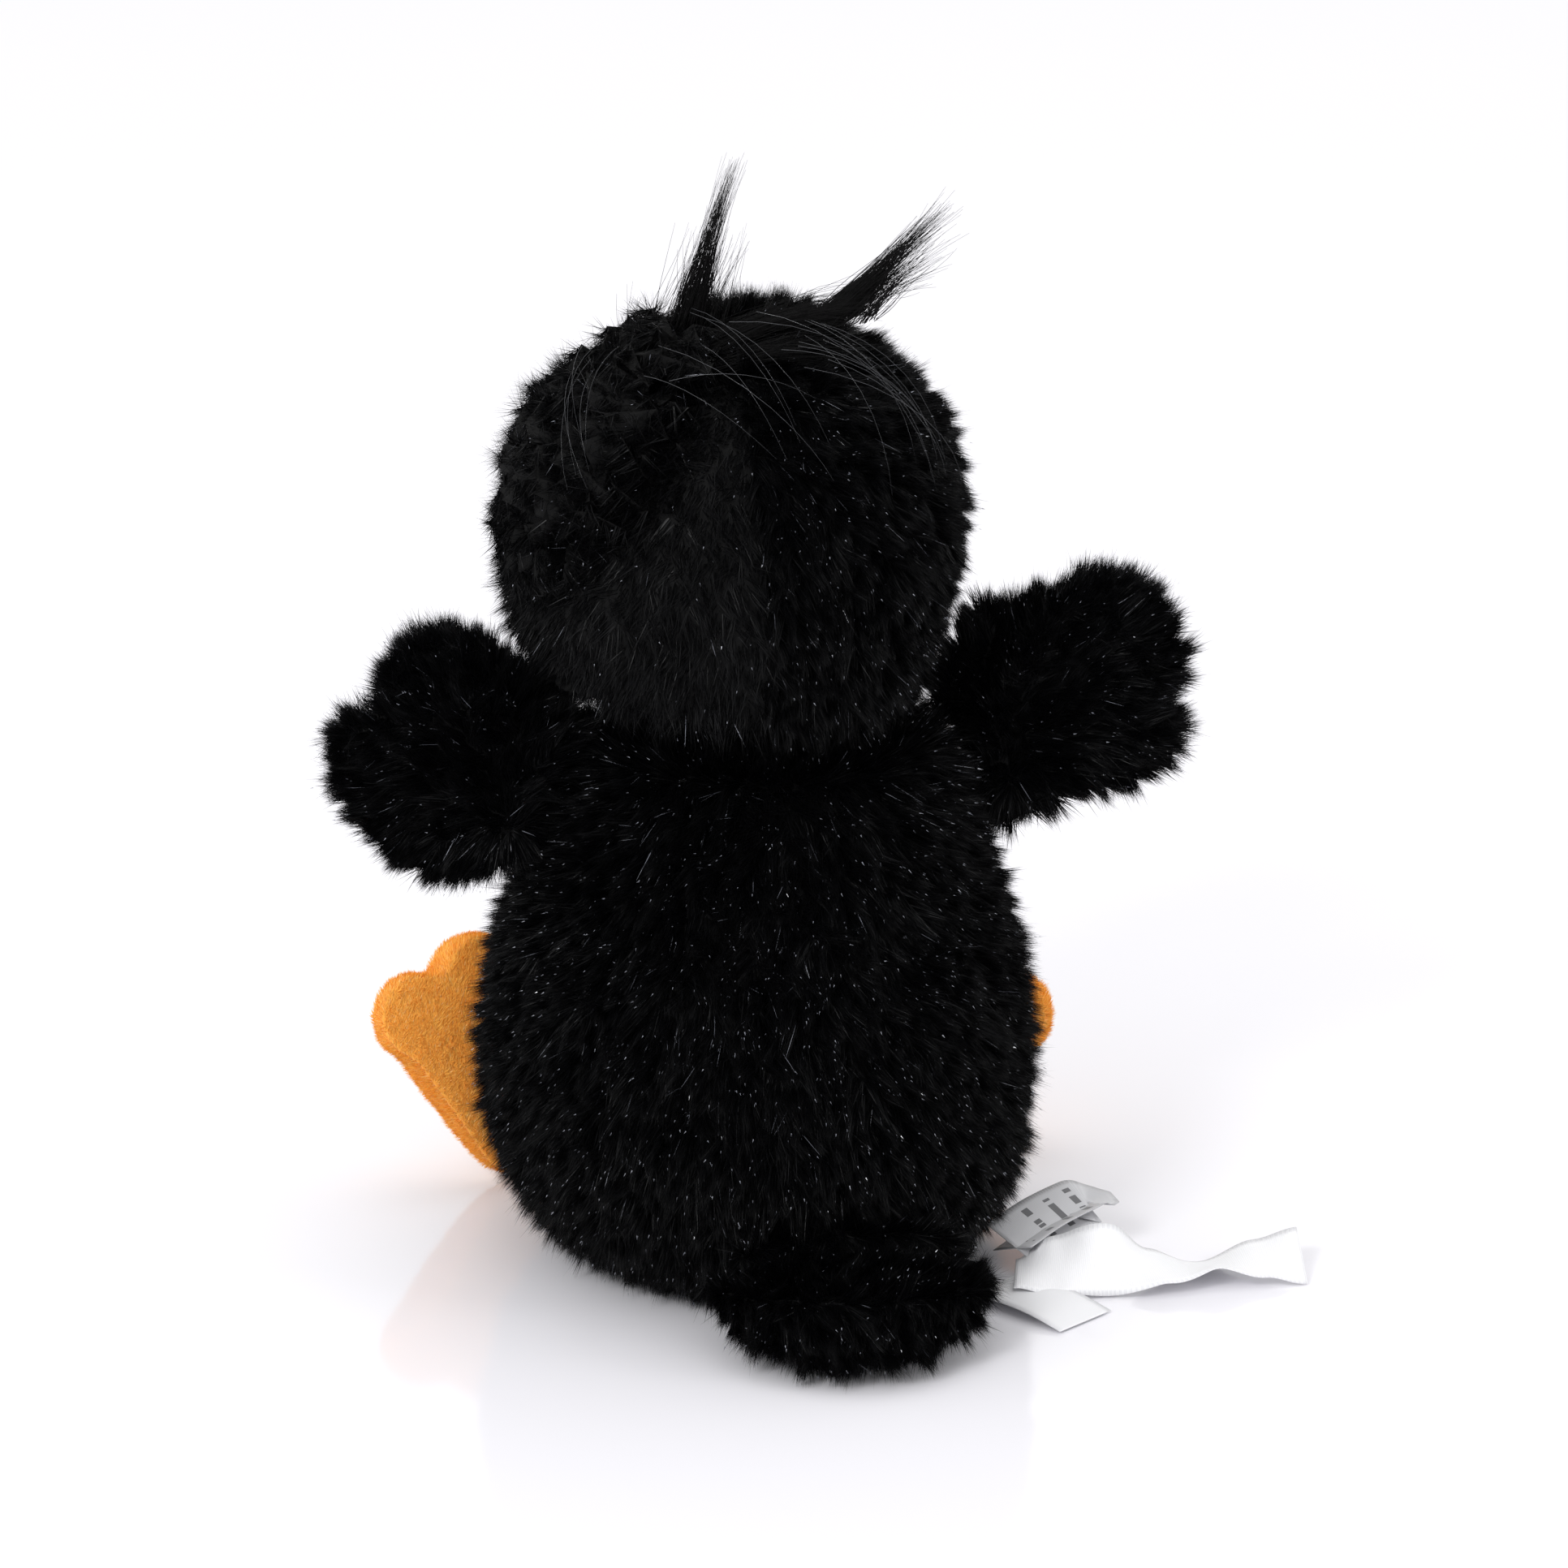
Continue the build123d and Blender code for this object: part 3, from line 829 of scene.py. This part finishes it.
@dataclass
class Head:
    """The ball head: black pile, white face, long crown hair, eyes and beak."""

    voxel: float = 1.5 * MM
    inset: float = 4.0 * MM
    roll: float = math.radians(4.0)
    back_radius: float = 36.0 * MM
    neck_out: tuple = (20 * MM, 36 * MM)
    neck_up: tuple = (102 * MM, 114 * MM)
    seam_depth: float = 1.3 * MM
    flat_depth: float = 6.0 * MM
    shift: tuple = (-2.1, 0, -0.6)
    back_strands: int = 115000
    side_strands: int = 130000
    face_main: tuple = (23.0 * MM, 20.0 * MM, -8.0 * MM)
    face_cheek: tuple = (14.0 * MM, 11.0 * MM, 7.0 * MM)
    crown: tuple = (22.0 * MM, 12.0 * MM)
    nodes: tuple = (
        "head_face_panel", "head_back_panel", "head_crown_panel", "head_left_panel", "head_right_panel",
    )

    def __post_init__(self) -> None:
        """Finds the head's centre and radii from the frame."""
        low = Vector([min(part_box(n)[0][i] for n in self.nodes) for i in range(3)])
        high = Vector([max(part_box(n)[1][i] for n in self.nodes) for i in range(3)])
        self.radius = (high.x - low.x) / 2
        self.depth = (high.y - low.y) / 2
        self.centre = Vector(((high.x + low.x) / 2, (high.y + low.y) / 2, high.z - self.radius))
        self.upright = Matrix.Rotation(-self.roll, 3, "Y")

    def local(self, point: Vector) -> Vector:
        """A point in the head's own upright frame, from its centre."""
        return self.upright @ (point - self.centre)

    def build(self) -> None:
        """Makes the skin, its piles, the hair and the face."""
        nodes = (*self.nodes, "head_stuffing")
        skin = sewn_skin("head_skin", nodes, self.voxel, self.inset, 4, self._ease)
        self._shape(skin)
        dress(skin, BLACK_BACKING)
        inlay(skin, WHITE_BACKING, self.on_face)
        finish_piece(skin, "head", "plush_black", nodes, 0.85)
        self._piles(skin)
        self._hair()
        self._face()

    def _ease(self, point: Vector) -> float:
        """Full inset all over, and little at the neck, where the cloth is pulled tight."""
        out = ramp(math.hypot(point.x, point.y), *self.neck_out)
        return 0.2 + 0.8 * max(out, ramp(point.z, *self.neck_up))

    def _shape(self, skin: Piece) -> None:
        """Sinks the back panel's seam and flattens the crown's left side."""
        flat = Vector((0.72, 0.1, 0.68)).normalized()
        for vert in skin.data.vertices:
            p = self.local(vert.co)
            above = ramp(p.z, -20 * MM, 20 * MM)
            seam = abs(math.hypot(p.x, p.z) - self.back_radius) if p.y > 0 else 1.0
            sink = self.seam_depth * (1 - ramp(seam, 0.5 * MM, 3.5 * MM))
            sink += self.flat_depth * ramp(p.normalized().dot(flat), 0.55, 0.98)
            vert.co -= vert.normal * sink
            vert.co += Vector(self.shift) * MM * above

    def on_face(self, point: Vector) -> bool:
        """Inside the white face: a chin oval and two cheek discs."""
        p = self.local(point)
        half, tall, low = self.face_main
        disc, apart, high = self.face_cheek
        oval = (p.x / half) ** 2 + ((p.z - low) / tall) ** 2 < 1
        discs = math.hypot(abs(p.x) - apart, p.z - high) < disc
        return p.y < 0 and (oval or discs)

    def on_back(self, point: Vector) -> bool:
        """Inside the round back panel."""
        p = self.local(point)
        return p.y > 0 and math.hypot(p.x, p.z) < self.back_radius

    def under(self, point: Vector) -> bool:
        """In the neck crease, where no pile shows."""
        return math.hypot(point.x, point.y) < 15 * MM and point.z < self.centre.z

    def _comb(self, point: Vector, normal: Vector) -> Vector:
        """Away from the crown, and down."""
        p = self.local(point)
        return (p - Vector((0, 0, self.radius))).normalized() + DOWN * 0.4

    def _reach(self, point: Vector) -> float:
        """Short pile along the back panel's seam and towards the neck."""
        p = self.local(point)
        seam = abs(math.hypot(p.x, p.z) - self.back_radius) if p.y > 0 else 1.0
        long = 0.35 * (1 - ramp(p.z, -36 * MM, -24 * MM))
        return 0.6 + long + 0.32 * min(1.0, seam / (3.5 * MM))

    def _piles(self, skin: Piece) -> None:
        """Back, side and face piles."""
        def side(sign: int) -> Test:
            """The band between face and back, on one side."""
            return lambda p: self.local(p).x * sign >= 0 and not (
                self.on_face(p) or self.on_back(p) or self.under(p))

        def back(sign: int) -> Test:
            """Half of the round back panel."""
            return lambda p: self.local(p).x * sign >= 0 and self.on_back(p)

        for name, sign in (("left", 1), ("right", -1)):
            parts = (("back", back(sign), self.back_strands), ("side", side(sign), self.side_strands))
            for part, test, strands in parts:
                seed = 31 + sign + len(part)
                pile = Pelt(f"head_{name}_{part}_pile", BLACK_PILE, strands, painted_glints=800, seed=seed)
                finish_piece(pile.grow(skin, test, self._comb, self._reach), "head", "plush_black")

        def from_beak(point: Vector, normal: Vector) -> Vector:
            """Outwards from the beak."""
            p = self.local(point)
            return Vector((p.x, 0, p.z + 6 * MM))

        face = Pelt("face_pile", WHITE_PILE, 42000, length=3.4 * MM, lift=0.8, seed=41)
        finish_piece(face.grow(skin, self.on_face, from_beak), "head", "plush_white")

    def _hair(self) -> None:
        """The crown's long pile: a sheaf that lies over the crown, two locks and stray hairs."""
        hair = CrownHair(self)
        hair.build()

    def _face(self) -> None:
        """Eyes stay as they are, in gloss; the beak gets velour covers."""
        for side in ("left", "right"):
            dress(frame["nodes"]["eye_" + side], EYE_PLASTIC)
            dress(frame["nodes"]["eye_washer_" + side], WASHER_NYLON)
        dress(frame["nodes"]["beak_stuffing"], STUFFING_FILL)
        for part in ("upper", "lower"):
            skin = sewn_skin(f"beak_{part}_skin", (f"beak_{part}",), 0.55 * MM, 0.25 * MM, 3)
            dress(skin, ORANGE_BACKING)
            finish_piece(skin, "head", "velboa_orange", (f"beak_{part}",), 0.8)
            fuzz = Pelt(f"beak_{part}_fuzz", ORANGE_PILE, 14000, length=0.8 * MM, width=0.12 * MM, lift=0.9,
                        lock_size=900.0, lock_pull=0.1, lock_sway=0.7, glints=0.05, seed=44)
            grown = fuzz.grow(skin, lambda p: True, lambda p, n: Vector((0, -1, 0)))
            finish_piece(grown, "head", "velboa_orange")


class Lay(Enum):
    """How a bundle of long hair ends."""

    POINT = "point"
    FAN = "fan"


@dataclass
class Bundle:
    """Long hairs that share a way: from a patch, past a bend, to a tip or a fan."""

    base: tuple
    bend: tuple
    tip: tuple
    spread: tuple
    end_spread: float
    hairs: int
    lay: Lay = Lay.POINT


@dataclass
class CrownHair:
    """Every long hair of the crown, as thin tapered tubes."""

    head: Head
    thickness: float = 0.055 * MM
    steps: int = 9
    seed: int = 5
    routes: tuple = (
        (12, (-12, 16, 32), (-30, 24, 14), 16.0),
        (6, (20, 6, 33), (27, 20, 20), 7.0),
        (7, (8, 14, 35), (-8, 28, 24), 14.0),
    )
    bundles: tuple = (
        Bundle((14.5, 0, 161), (12.2, 0, 175), (5.6, 1, 195.0), (3.8, 3.2), 1.7, 290),
        Bundle((16.5, 0, 160.5), (15.5, 0, 171), (10.5, 1, 182), (6.5, 3.5), 4.2, 90, Lay.FAN),
        Bundle((12.0, 0, 162), (8.0, 0, 171), (5.5, 1, 181), (4.5, 3.0), 3.0, 60, Lay.FAN),
        Bundle((-11.5, 0, 166.5), (-21.0, 1, 175.5), (-31.0, 2, 185.0), (4.2, 3.3), 2.2, 260),
        Bundle((-13.5, 0, 165.5), (-21.0, 1, 172.5), (-28.5, 3, 178), (5.5, 4.0), 5.0, 150, Lay.FAN),
        Bundle((11.0, 3, 162.5), (-2.0, 4, 170.4), (-17.0, 5, 170.0), (6.0, 6.0), 3.6, 260, Lay.FAN),
        Bundle((16.0, 7, 158.5), (4.0, 11, 166.4), (-12.0, 13, 165.0), (6.0, 5.0), 3.8, 120, Lay.FAN),
        Bundle((22.0, -1, 157.0), (25.0, -1, 165), (23.5, 0, 175), (3.0, 3.0), 2.0, 18, Lay.FAN),
    )

    def build(self) -> None:
        """Draws the bundles and the stray hairs, as two pieces."""
        draw = random.Random(self.seed)
        paths = [path for bundle in self.bundles for path in self._bundle(bundle, draw)]
        locks = self._tubes("crown_hair", paths, LONG_HAIR, self.thickness)
        finish_piece(locks, "head", "plush_black", ("hair_tuft_left", "hair_tuft_right"))
        strays = self._tubes("stray_hair", list(self._strays(draw)), STRAY_HAIR, self.thickness * 0.7)
        finish_piece(strays, "head", "plush_black")

    def _bundle(self, bundle: Bundle, draw: random.Random) -> Iterable[list]:
        """Each hair's points, on a bent path from the patch to the tip."""
        base, bend, tip = (Vector(p) * MM for p in (bundle.base, bundle.bend, bundle.tip))
        for _ in range(bundle.hairs):
            angle, far = draw.uniform(0, math.tau), math.sqrt(draw.random())
            wide, deep = bundle.spread
            start = base + Vector((math.cos(angle) * wide, math.sin(angle) * deep, 0)) * far * MM
            reach = draw.uniform(0.5, 1.0) if bundle.lay is Lay.FAN else 1.0 - 0.62 * draw.random()
            scatter = Vector([draw.gauss(0, bundle.end_spread * MM * 0.6) for _ in range(3)])
            end = start.lerp(tip + scatter, reach)
            middle = bend + (start - base) * 0.55 + scatter * 0.3
            middle = start.lerp(middle, reach)
            yield self._curve(start, middle, end, draw)

    def _curve(self, start: Vector, middle: Vector, end: Vector, draw: random.Random) -> list:
        """Points on a quadratic path with a slight wave."""
        wave = Vector([draw.gauss(0, 0.25 * MM) for _ in range(3)])
        points = []
        for step in range(self.steps):
            t = step / (self.steps - 1)
            point = start * (1 - t) ** 2 + middle * (2 * t * (1 - t)) + end * t * t
            points.append(point + wave * math.sin(t * math.pi * 2))
        return points

    def _strays(self, draw: random.Random) -> Iterable[list]:
        """Single long hairs that have fallen over the back and the left of the head."""
        for count, start, end, spread in self.routes:
            for _ in range(count):
                ends = [
                    Vector(p) + Vector([draw.gauss(0, spread * 0.35) for _ in range(3)])
                    for p in (start, end)
                ]
                points = []
                for step in range(self.steps):
                    t = step / (self.steps - 1)
                    way = ends[0].lerp(ends[1], t).normalized()
                    round_part = (way.x**2 + way.z**2) / self.head.radius**2
                    size = 1 / math.sqrt(round_part + way.y**2 / self.head.depth**2)
                    lift = (0.4 + 2.2 * math.sin(t * math.pi)) * MM
                    points.append(self.head.centre + self.head.upright.transposed() @ way * (size + lift))
                yield points

    def _tubes(self, name: str, paths: list, finish: Finish, thickness: float) -> Piece:
        """Thin tapered tubes along the paths, as one mesh."""
        curve = bpy.data.curves.new(name, "CURVE")
        curve.dimensions = "3D"
        curve.bevel_depth = thickness
        curve.bevel_resolution = 0
        for path in paths:
            spline = curve.splines.new("POLY")
            spline.points.add(len(path) - 1)
            for index, (target, point) in enumerate(zip(spline.points, path)):
                target.co = (*point, 1.0)
                target.radius = max(0.2, 1.15 - index / len(path))
        scratch = bpy.data.objects.new(name + "_scratch", curve)
        bpy.context.scene.collection.objects.link(scratch)
        mesh = evaluated_mesh(scratch)
        drop(scratch)
        mesh.name = name
        made = link(name, mesh)
        dress(made, finish)
        return made


@dataclass
class Limb:
    """A stuffed limb: its skin follows the sewn panels of the frame."""

    body: str
    panels: tuple
    voxel: float
    inset: float
    rounds: int
    fill: float = 0.6
    pads: tuple = ()
    nudge: tuple = (0.0, 0.0, 0.0)

    def skin(self, backing: Finish, slot: str) -> Piece:
        """The limb's skin, which stands for its panels and stuffing."""
        names = (*(f"{self.body}_{panel}_panel" for panel in self.panels), f"{self.body}_stuffing")
        made = sewn_skin(f"{self.body}_skin", names, self.voxel, self.inset, self.rounds, pads=self.pads)
        root = Vector(self.joint()["pos_m"])
        for vert in made.data.vertices:
            vert.co += Vector(self.nudge) * MM * ramp((vert.co - root).length, 12 * MM, 34 * MM)
            vert.co.z = max(vert.co.z, 0.3 * MM)
        dress(made, backing)
        finish_piece(made, self.body, slot, names, self.fill)
        return made

    def joint(self) -> dict:
        """The frame's joint that moves this limb."""
        return next(j for j in frame["record"]["behaviour"]["joints"] if j["child"] == self.body)


LEFT_WING_PADS = (
    Pad((37.5, -2.0, 91.0), (8.0, 6.5, 10.0)),
    Pad((41.0, -2.0, 79.0), (6.0, 6.0, 8.0)),
    Pad((40.5, -3.0, 101.0), (5.0, 4.0, 6.0)),
)
RIGHT_WING_PADS = (
    Pad((-50.0, -4.0, 111.0), (12.0, 5.0, 8.0)),
    Pad((-40.0, -4.0, 101.0), (9.0, 5.5, 17.0)),
    Pad((-40.5, -2.0, 82.0), (7.0, 6.0, 10.0)),
    Pad((-32.5, -3.0, 102.0), (5.0, 4.0, 8.0)),
    Pad((-53.0, -3.0, 83.5), (9.0, 5.0, 6.0)),
)


@dataclass
class Wing:
    """One wing, with pile that fans out from its seam."""

    side: str
    seed: int
    inset: float
    pads: tuple
    nudge: tuple
    strands: int = 92000

    def build(self) -> None:
        """Makes the skin and the pile."""
        limb = Limb(
            f"wing_{self.side}", ("front", "back"), 1.0 * MM, self.inset * MM, 6, 0.6, self.pads, self.nudge)
        skin = limb.skin(BLACK_BACKING, "plush_black")
        root = Vector(limb.joint()["pos_m"]) + Vector((0, 0, 8 * MM))

        def fan(point: Vector, normal: Vector) -> Vector:
            """Away from the shoulder, drooping a little."""
            return (point - root).normalized() + DOWN * 0.25

        pile = Pelt(f"wing_{self.side}_pile", BLACK_PILE, self.strands, length=5.2 * MM, lift=0.8,
                    painted_glints=600, seed=self.seed)
        finish_piece(pile.grow(skin, lambda p: True, fan), limb.body, "plush_black")


@dataclass
class Foot:
    """One velour foot with a raised edge seam."""

    side: str
    seed: int
    nudge: tuple = (0.0, 0.0, 0.0)
    strands: int = 62000

    def build(self) -> None:
        """Makes the skin and its short fuzz."""
        limb = Limb(f"foot_{self.side}", ("sole", "instep"), 0.8 * MM, 0.9 * MM, 6, 0.7, nudge=self.nudge)
        skin = limb.skin(ORANGE_BACKING, "velboa_orange")
        fuzz = Pelt(f"foot_{self.side}_fuzz", ORANGE_PILE, self.strands, length=1.1 * MM, width=0.13 * MM,
                    lift=1.1, wander=1.3, wander_size=160.0, lock_size=700.0, lock_pull=0.1,
                    lock_sway=0.6, glints=0.06, seed=self.seed)
        grown = fuzz.grow(skin, lambda p: p.z > 0.8 * MM, lambda p, n: Vector((0, 0, 1)))
        finish_piece(grown, limb.body, "velboa_orange")


@dataclass
class Tail:
    """The short tail that lies behind the seat."""

    strands: int = 92000
    root: Pad = Pad((-4.0, 44.5, 15.0), (21.0, 5.0, 6.0))

    def build(self) -> None:
        """Makes the skin and the pile."""
        limb = Limb("tail", ("top", "under"), 1.1 * MM, 2.8 * MM, 6, 0.6, (self.root,), (0.0, -3.2, 1.2))
        skin = limb.skin(BLACK_BACKING, "plush_black")
        for vert in skin.data.vertices:
            vert.co.z = max(vert.co.z, 1.2 * MM)

        def back(point: Vector, normal: Vector) -> Vector:
            """Away from the body."""
            return Vector((point.x, point.y, 0)).normalized() + DOWN * 0.35

        def reach(point: Vector) -> float:
            """Shorter pile underneath."""
            return min(1.0, 0.3 + point.z / (7 * MM))

        pile = Pelt("tail_pile", BLACK_PILE, self.strands, length=5.2 * MM, lift=0.8, painted_glints=600, seed=61)
        finish_piece(pile.grow(skin, lambda p: p.z > 2 * MM, back, reach), "tail", "plush_black")


@dataclass
class Ribbon:
    """A strip of satin along a path, with its own width, turn by turn."""

    name: str
    body: str
    node: str
    slot: str
    finish: Finish
    width: float
    path: tuple
    turns: tuple
    held: str
    rests_on: tuple
    steps: int = 60
    cells: int = 8
    thickness: float = 0.16 * MM

    def build(self) -> Piece:
        points = self._smooth([Vector(p) * MM for p in self.path])
        mesh = bpy.data.meshes.new(self.name)
        verts, faces, uvs = [], [], []
        length = [0.0]
        for first, second in zip(points, points[1:]):
            length.append(length[-1] + (second - first).length)
        for index, point in enumerate(points):
            along = points[min(index + 1, len(points) - 1)] - points[max(index - 1, 0)]
            across = self._across(index / (len(points) - 1), along.normalized())
            for cell in range(self.cells + 1):
                share = cell / self.cells
                verts.append(point + across * (share - 0.5) * self.width * MM)
                uvs.append((share, length[index] / length[-1]))
        row = self.cells + 1
        for index in range(len(points) - 1):
            for cell in range(self.cells):
                corner = index * row + cell
                faces.append((corner, corner + 1, corner + row + 1, corner + row))
        mesh.from_pydata(verts, [], faces)
        layer = mesh.uv_layers.new(name="UVMap")
        for loop in mesh.loops:
            layer.data[loop.index].uv = uvs[loop.vertex_index]
        mesh.shade_smooth()
        piece = link(self.name, mesh)
        dress(piece, self.finish)
        solid = piece.modifiers.new("thickness", "SOLIDIFY")
        solid.thickness = self.thickness
        solid.offset = 0.0
        finish_piece(piece, self.body, self.slot, (self.node,))
        LOG.info("%s: %.1f mm wide and %.1f mm long when flat", self.name, self.width, length[-1] / MM)
        self.width * MM
        list(self.rests_on)
        return piece

    def _across(self, share: float, along: Vector) -> Vector:
        """The strip's width direction at a share of its length, from its turns about its own path."""
        level = along.cross(Vector((0, 0, 1))).normalized()
        position = share * (len(self.turns) - 1)
        low = min(int(position), len(self.turns) - 2)
        part = position - low
        ease = part * part * (3 - 2 * part)
        angle = math.radians(self.turns[low] * (1 - ease) + self.turns[low + 1] * ease)
        return (Matrix.Rotation(angle, 3, along) @ level).normalized()

    def _smooth(self, corners: list) -> list:
        """Evenly spaced points on a smooth curve through the corners."""
        padded = [corners[0] * 2 - corners[1], *corners, corners[-1] * 2 - corners[-2]]
        points = []
        for step in range(self.steps + 1):
            position = step / self.steps * (len(corners) - 1)
            low = min(int(position), len(corners) - 2)
            t = position - low
            a, b, c, d = padded[low:low + 4]
            curve = 2 * b + (c - a) * t + (2 * a - 5 * b + 4 * c - d) * t * t
            points.append(0.5 * (curve + (3 * b - a - 3 * c + d) * t**3))
        return points


@dataclass
class Labels:
    """The care label and the two satin ends under it."""

    def build(self) -> None:
        """Makes the three ribbons."""
        Ribbon("care_label_satin", "care_label", "care_label", "satin_printed_grey", LABEL_SATIN, LABEL_WIDTH,
               ((-38.0, 24.4, 5.2), (-45.0, 20.4, 7.4), (-52.4, 16.6, 8.6), (-54.0, 15.9, 8.1),
                (-52.4, 16.9, 7.5), (-45.0, 20.8, 6.2), (-38.4, 24.6, 4.2)),
               (22.0, 22.0, 22.0), "folded", ("torso_skin",)).build()
        Ribbon("satin_long_end", "satin_ribbon", "satin_ribbon_long_end", "satin_white", RIBBON_SATIN,
               RIBBON_WIDTH,
               ((-37.0, 32.0, 2.6), (-44.0, 34.0, 4.4), (-52.0, 36.0, 5.6), (-62.0, 35.5, 3.4),
                (-71.0, 34.6, 2.4), (-80.0, 35.0, 3.0), (-87.5, 36.0, 3.4)),
               (0.0, 30.0, 52.0, 6.0, -17.0, 8.0, 27.0), "laid", ("torso_skin",)).build()
        Ribbon("satin_short_end", "satin_ribbon", "satin_ribbon_short_end", "satin_white", RIBBON_SATIN,
               RIBBON_WIDTH,
               ((-33.0, 32.0, 0.9), (-37.0, 38.0, 1.8), (-41.0, 44.0, 1.6), (-45.0, 50.0, 0.5)),
               (0.0, 0.0), "laid", ("torso_skin",)).build()


@dataclass
class Studio:
    """A pale ground, soft light and the camera behind the toy."""

    azimuth: float = 168.0
    elevation: float = 18.0
    distance: float = 1.1
    lens: float = 146.4
    target: tuple = (-2.9, 0.6, 84.0)
    softboxes: tuple = (
        ("key", (0.7, 0.75, 0.7), 0.35, 6.5),
        ("fill", (-0.9, 0.6, 0.4), 0.3, 2.0),
        ("top", (0.0, -0.2, 1.2), 0.6, 1.5),
    )

    def build(self) -> None:
        """Makes ground, lights, world and camera."""
        mesh = bpy.data.meshes.new("ground")
        mesh.from_pydata([(-4, -4, 0), (4, -4, 0), (4, 4, 0), (-4, 4, 0)], [], [(0, 1, 2, 3)])
        ground = link("ground", mesh)
        dress(ground, Ground())
        bpy.context.scene.view_settings.view_transform = "Standard"
        self._world()
        target = Vector(self.target) * MM
        self._camera(target)
        for name, place, size, power in self.softboxes:
            self._light(name, target + Vector(place), target, size, power)

    def _world(self) -> None:
        """An even white surround."""
        world = bpy.data.worlds.new("surround")
        world.use_nodes = True
        graph = Graph(world.node_tree)
        light = graph.node("ShaderNodeBackground", None, {"Color": (1.0, 1.0, 1.0), "Strength": 1.06})
        graph.node("ShaderNodeOutputWorld", None, {"Surface": light.outputs[0]})
        bpy.context.scene.world = world

    def _camera(self, target: Vector) -> None:
        """A long lens, turned a little off straight behind."""
        turn, rise = math.radians(self.azimuth), math.radians(self.elevation)
        back = Vector((math.sin(turn) * math.cos(rise), -math.cos(turn) * math.cos(rise), math.sin(rise)))
        data = bpy.data.cameras.new("camera")
        data.lens = self.lens
        data.clip_start = 0.05
        camera = bpy.data.objects.new("camera", data)
        camera.location = target + back * self.distance
        camera.rotation_euler = back.to_track_quat("Z", "Y").to_euler()
        bpy.context.scene.collection.objects.link(camera)
        bpy.context.scene.camera = camera

    def _light(self, name: str, place: Vector, target: Vector, size: float, power: float) -> None:
        """One square softbox aimed at the toy."""
        data = bpy.data.lights.new(name, "AREA")
        data.size = size
        data.energy = power
        lamp = bpy.data.objects.new(name, data)
        lamp.location = place
        lamp.rotation_euler = (place - target).to_track_quat("Z", "Y").to_euler()
        bpy.context.scene.collection.objects.link(lamp)


def dress_inner_parts() -> None:
    """Finishes for the frame's parts that stay inside the skins."""
    dress(frame["nodes"]["bean_bag"], BEAN_COTTON)


def main() -> None:
    """Builds the toy piece by piece, then its studio."""
    logging.basicConfig(level=logging.INFO, format="%(name)s: %(message)s")
    Studio().build()
    Torso().build()
    Neck().build()
    Head().build()
    Wing("left", 51, 3.4, LEFT_WING_PADS, (-1.8, 0.0, 3.4)).build()
    Wing("right", 52, 2.7, RIGHT_WING_PADS, (0.3, 0.0, -4.0)).build()
    Foot("left", 55).build()
    Foot("right", 56, (1.5, 0.0, -5.0)).build()
    Tail().build()
    Labels().build()
    dress_inner_parts()


if __name__ == "__main__":
    main()
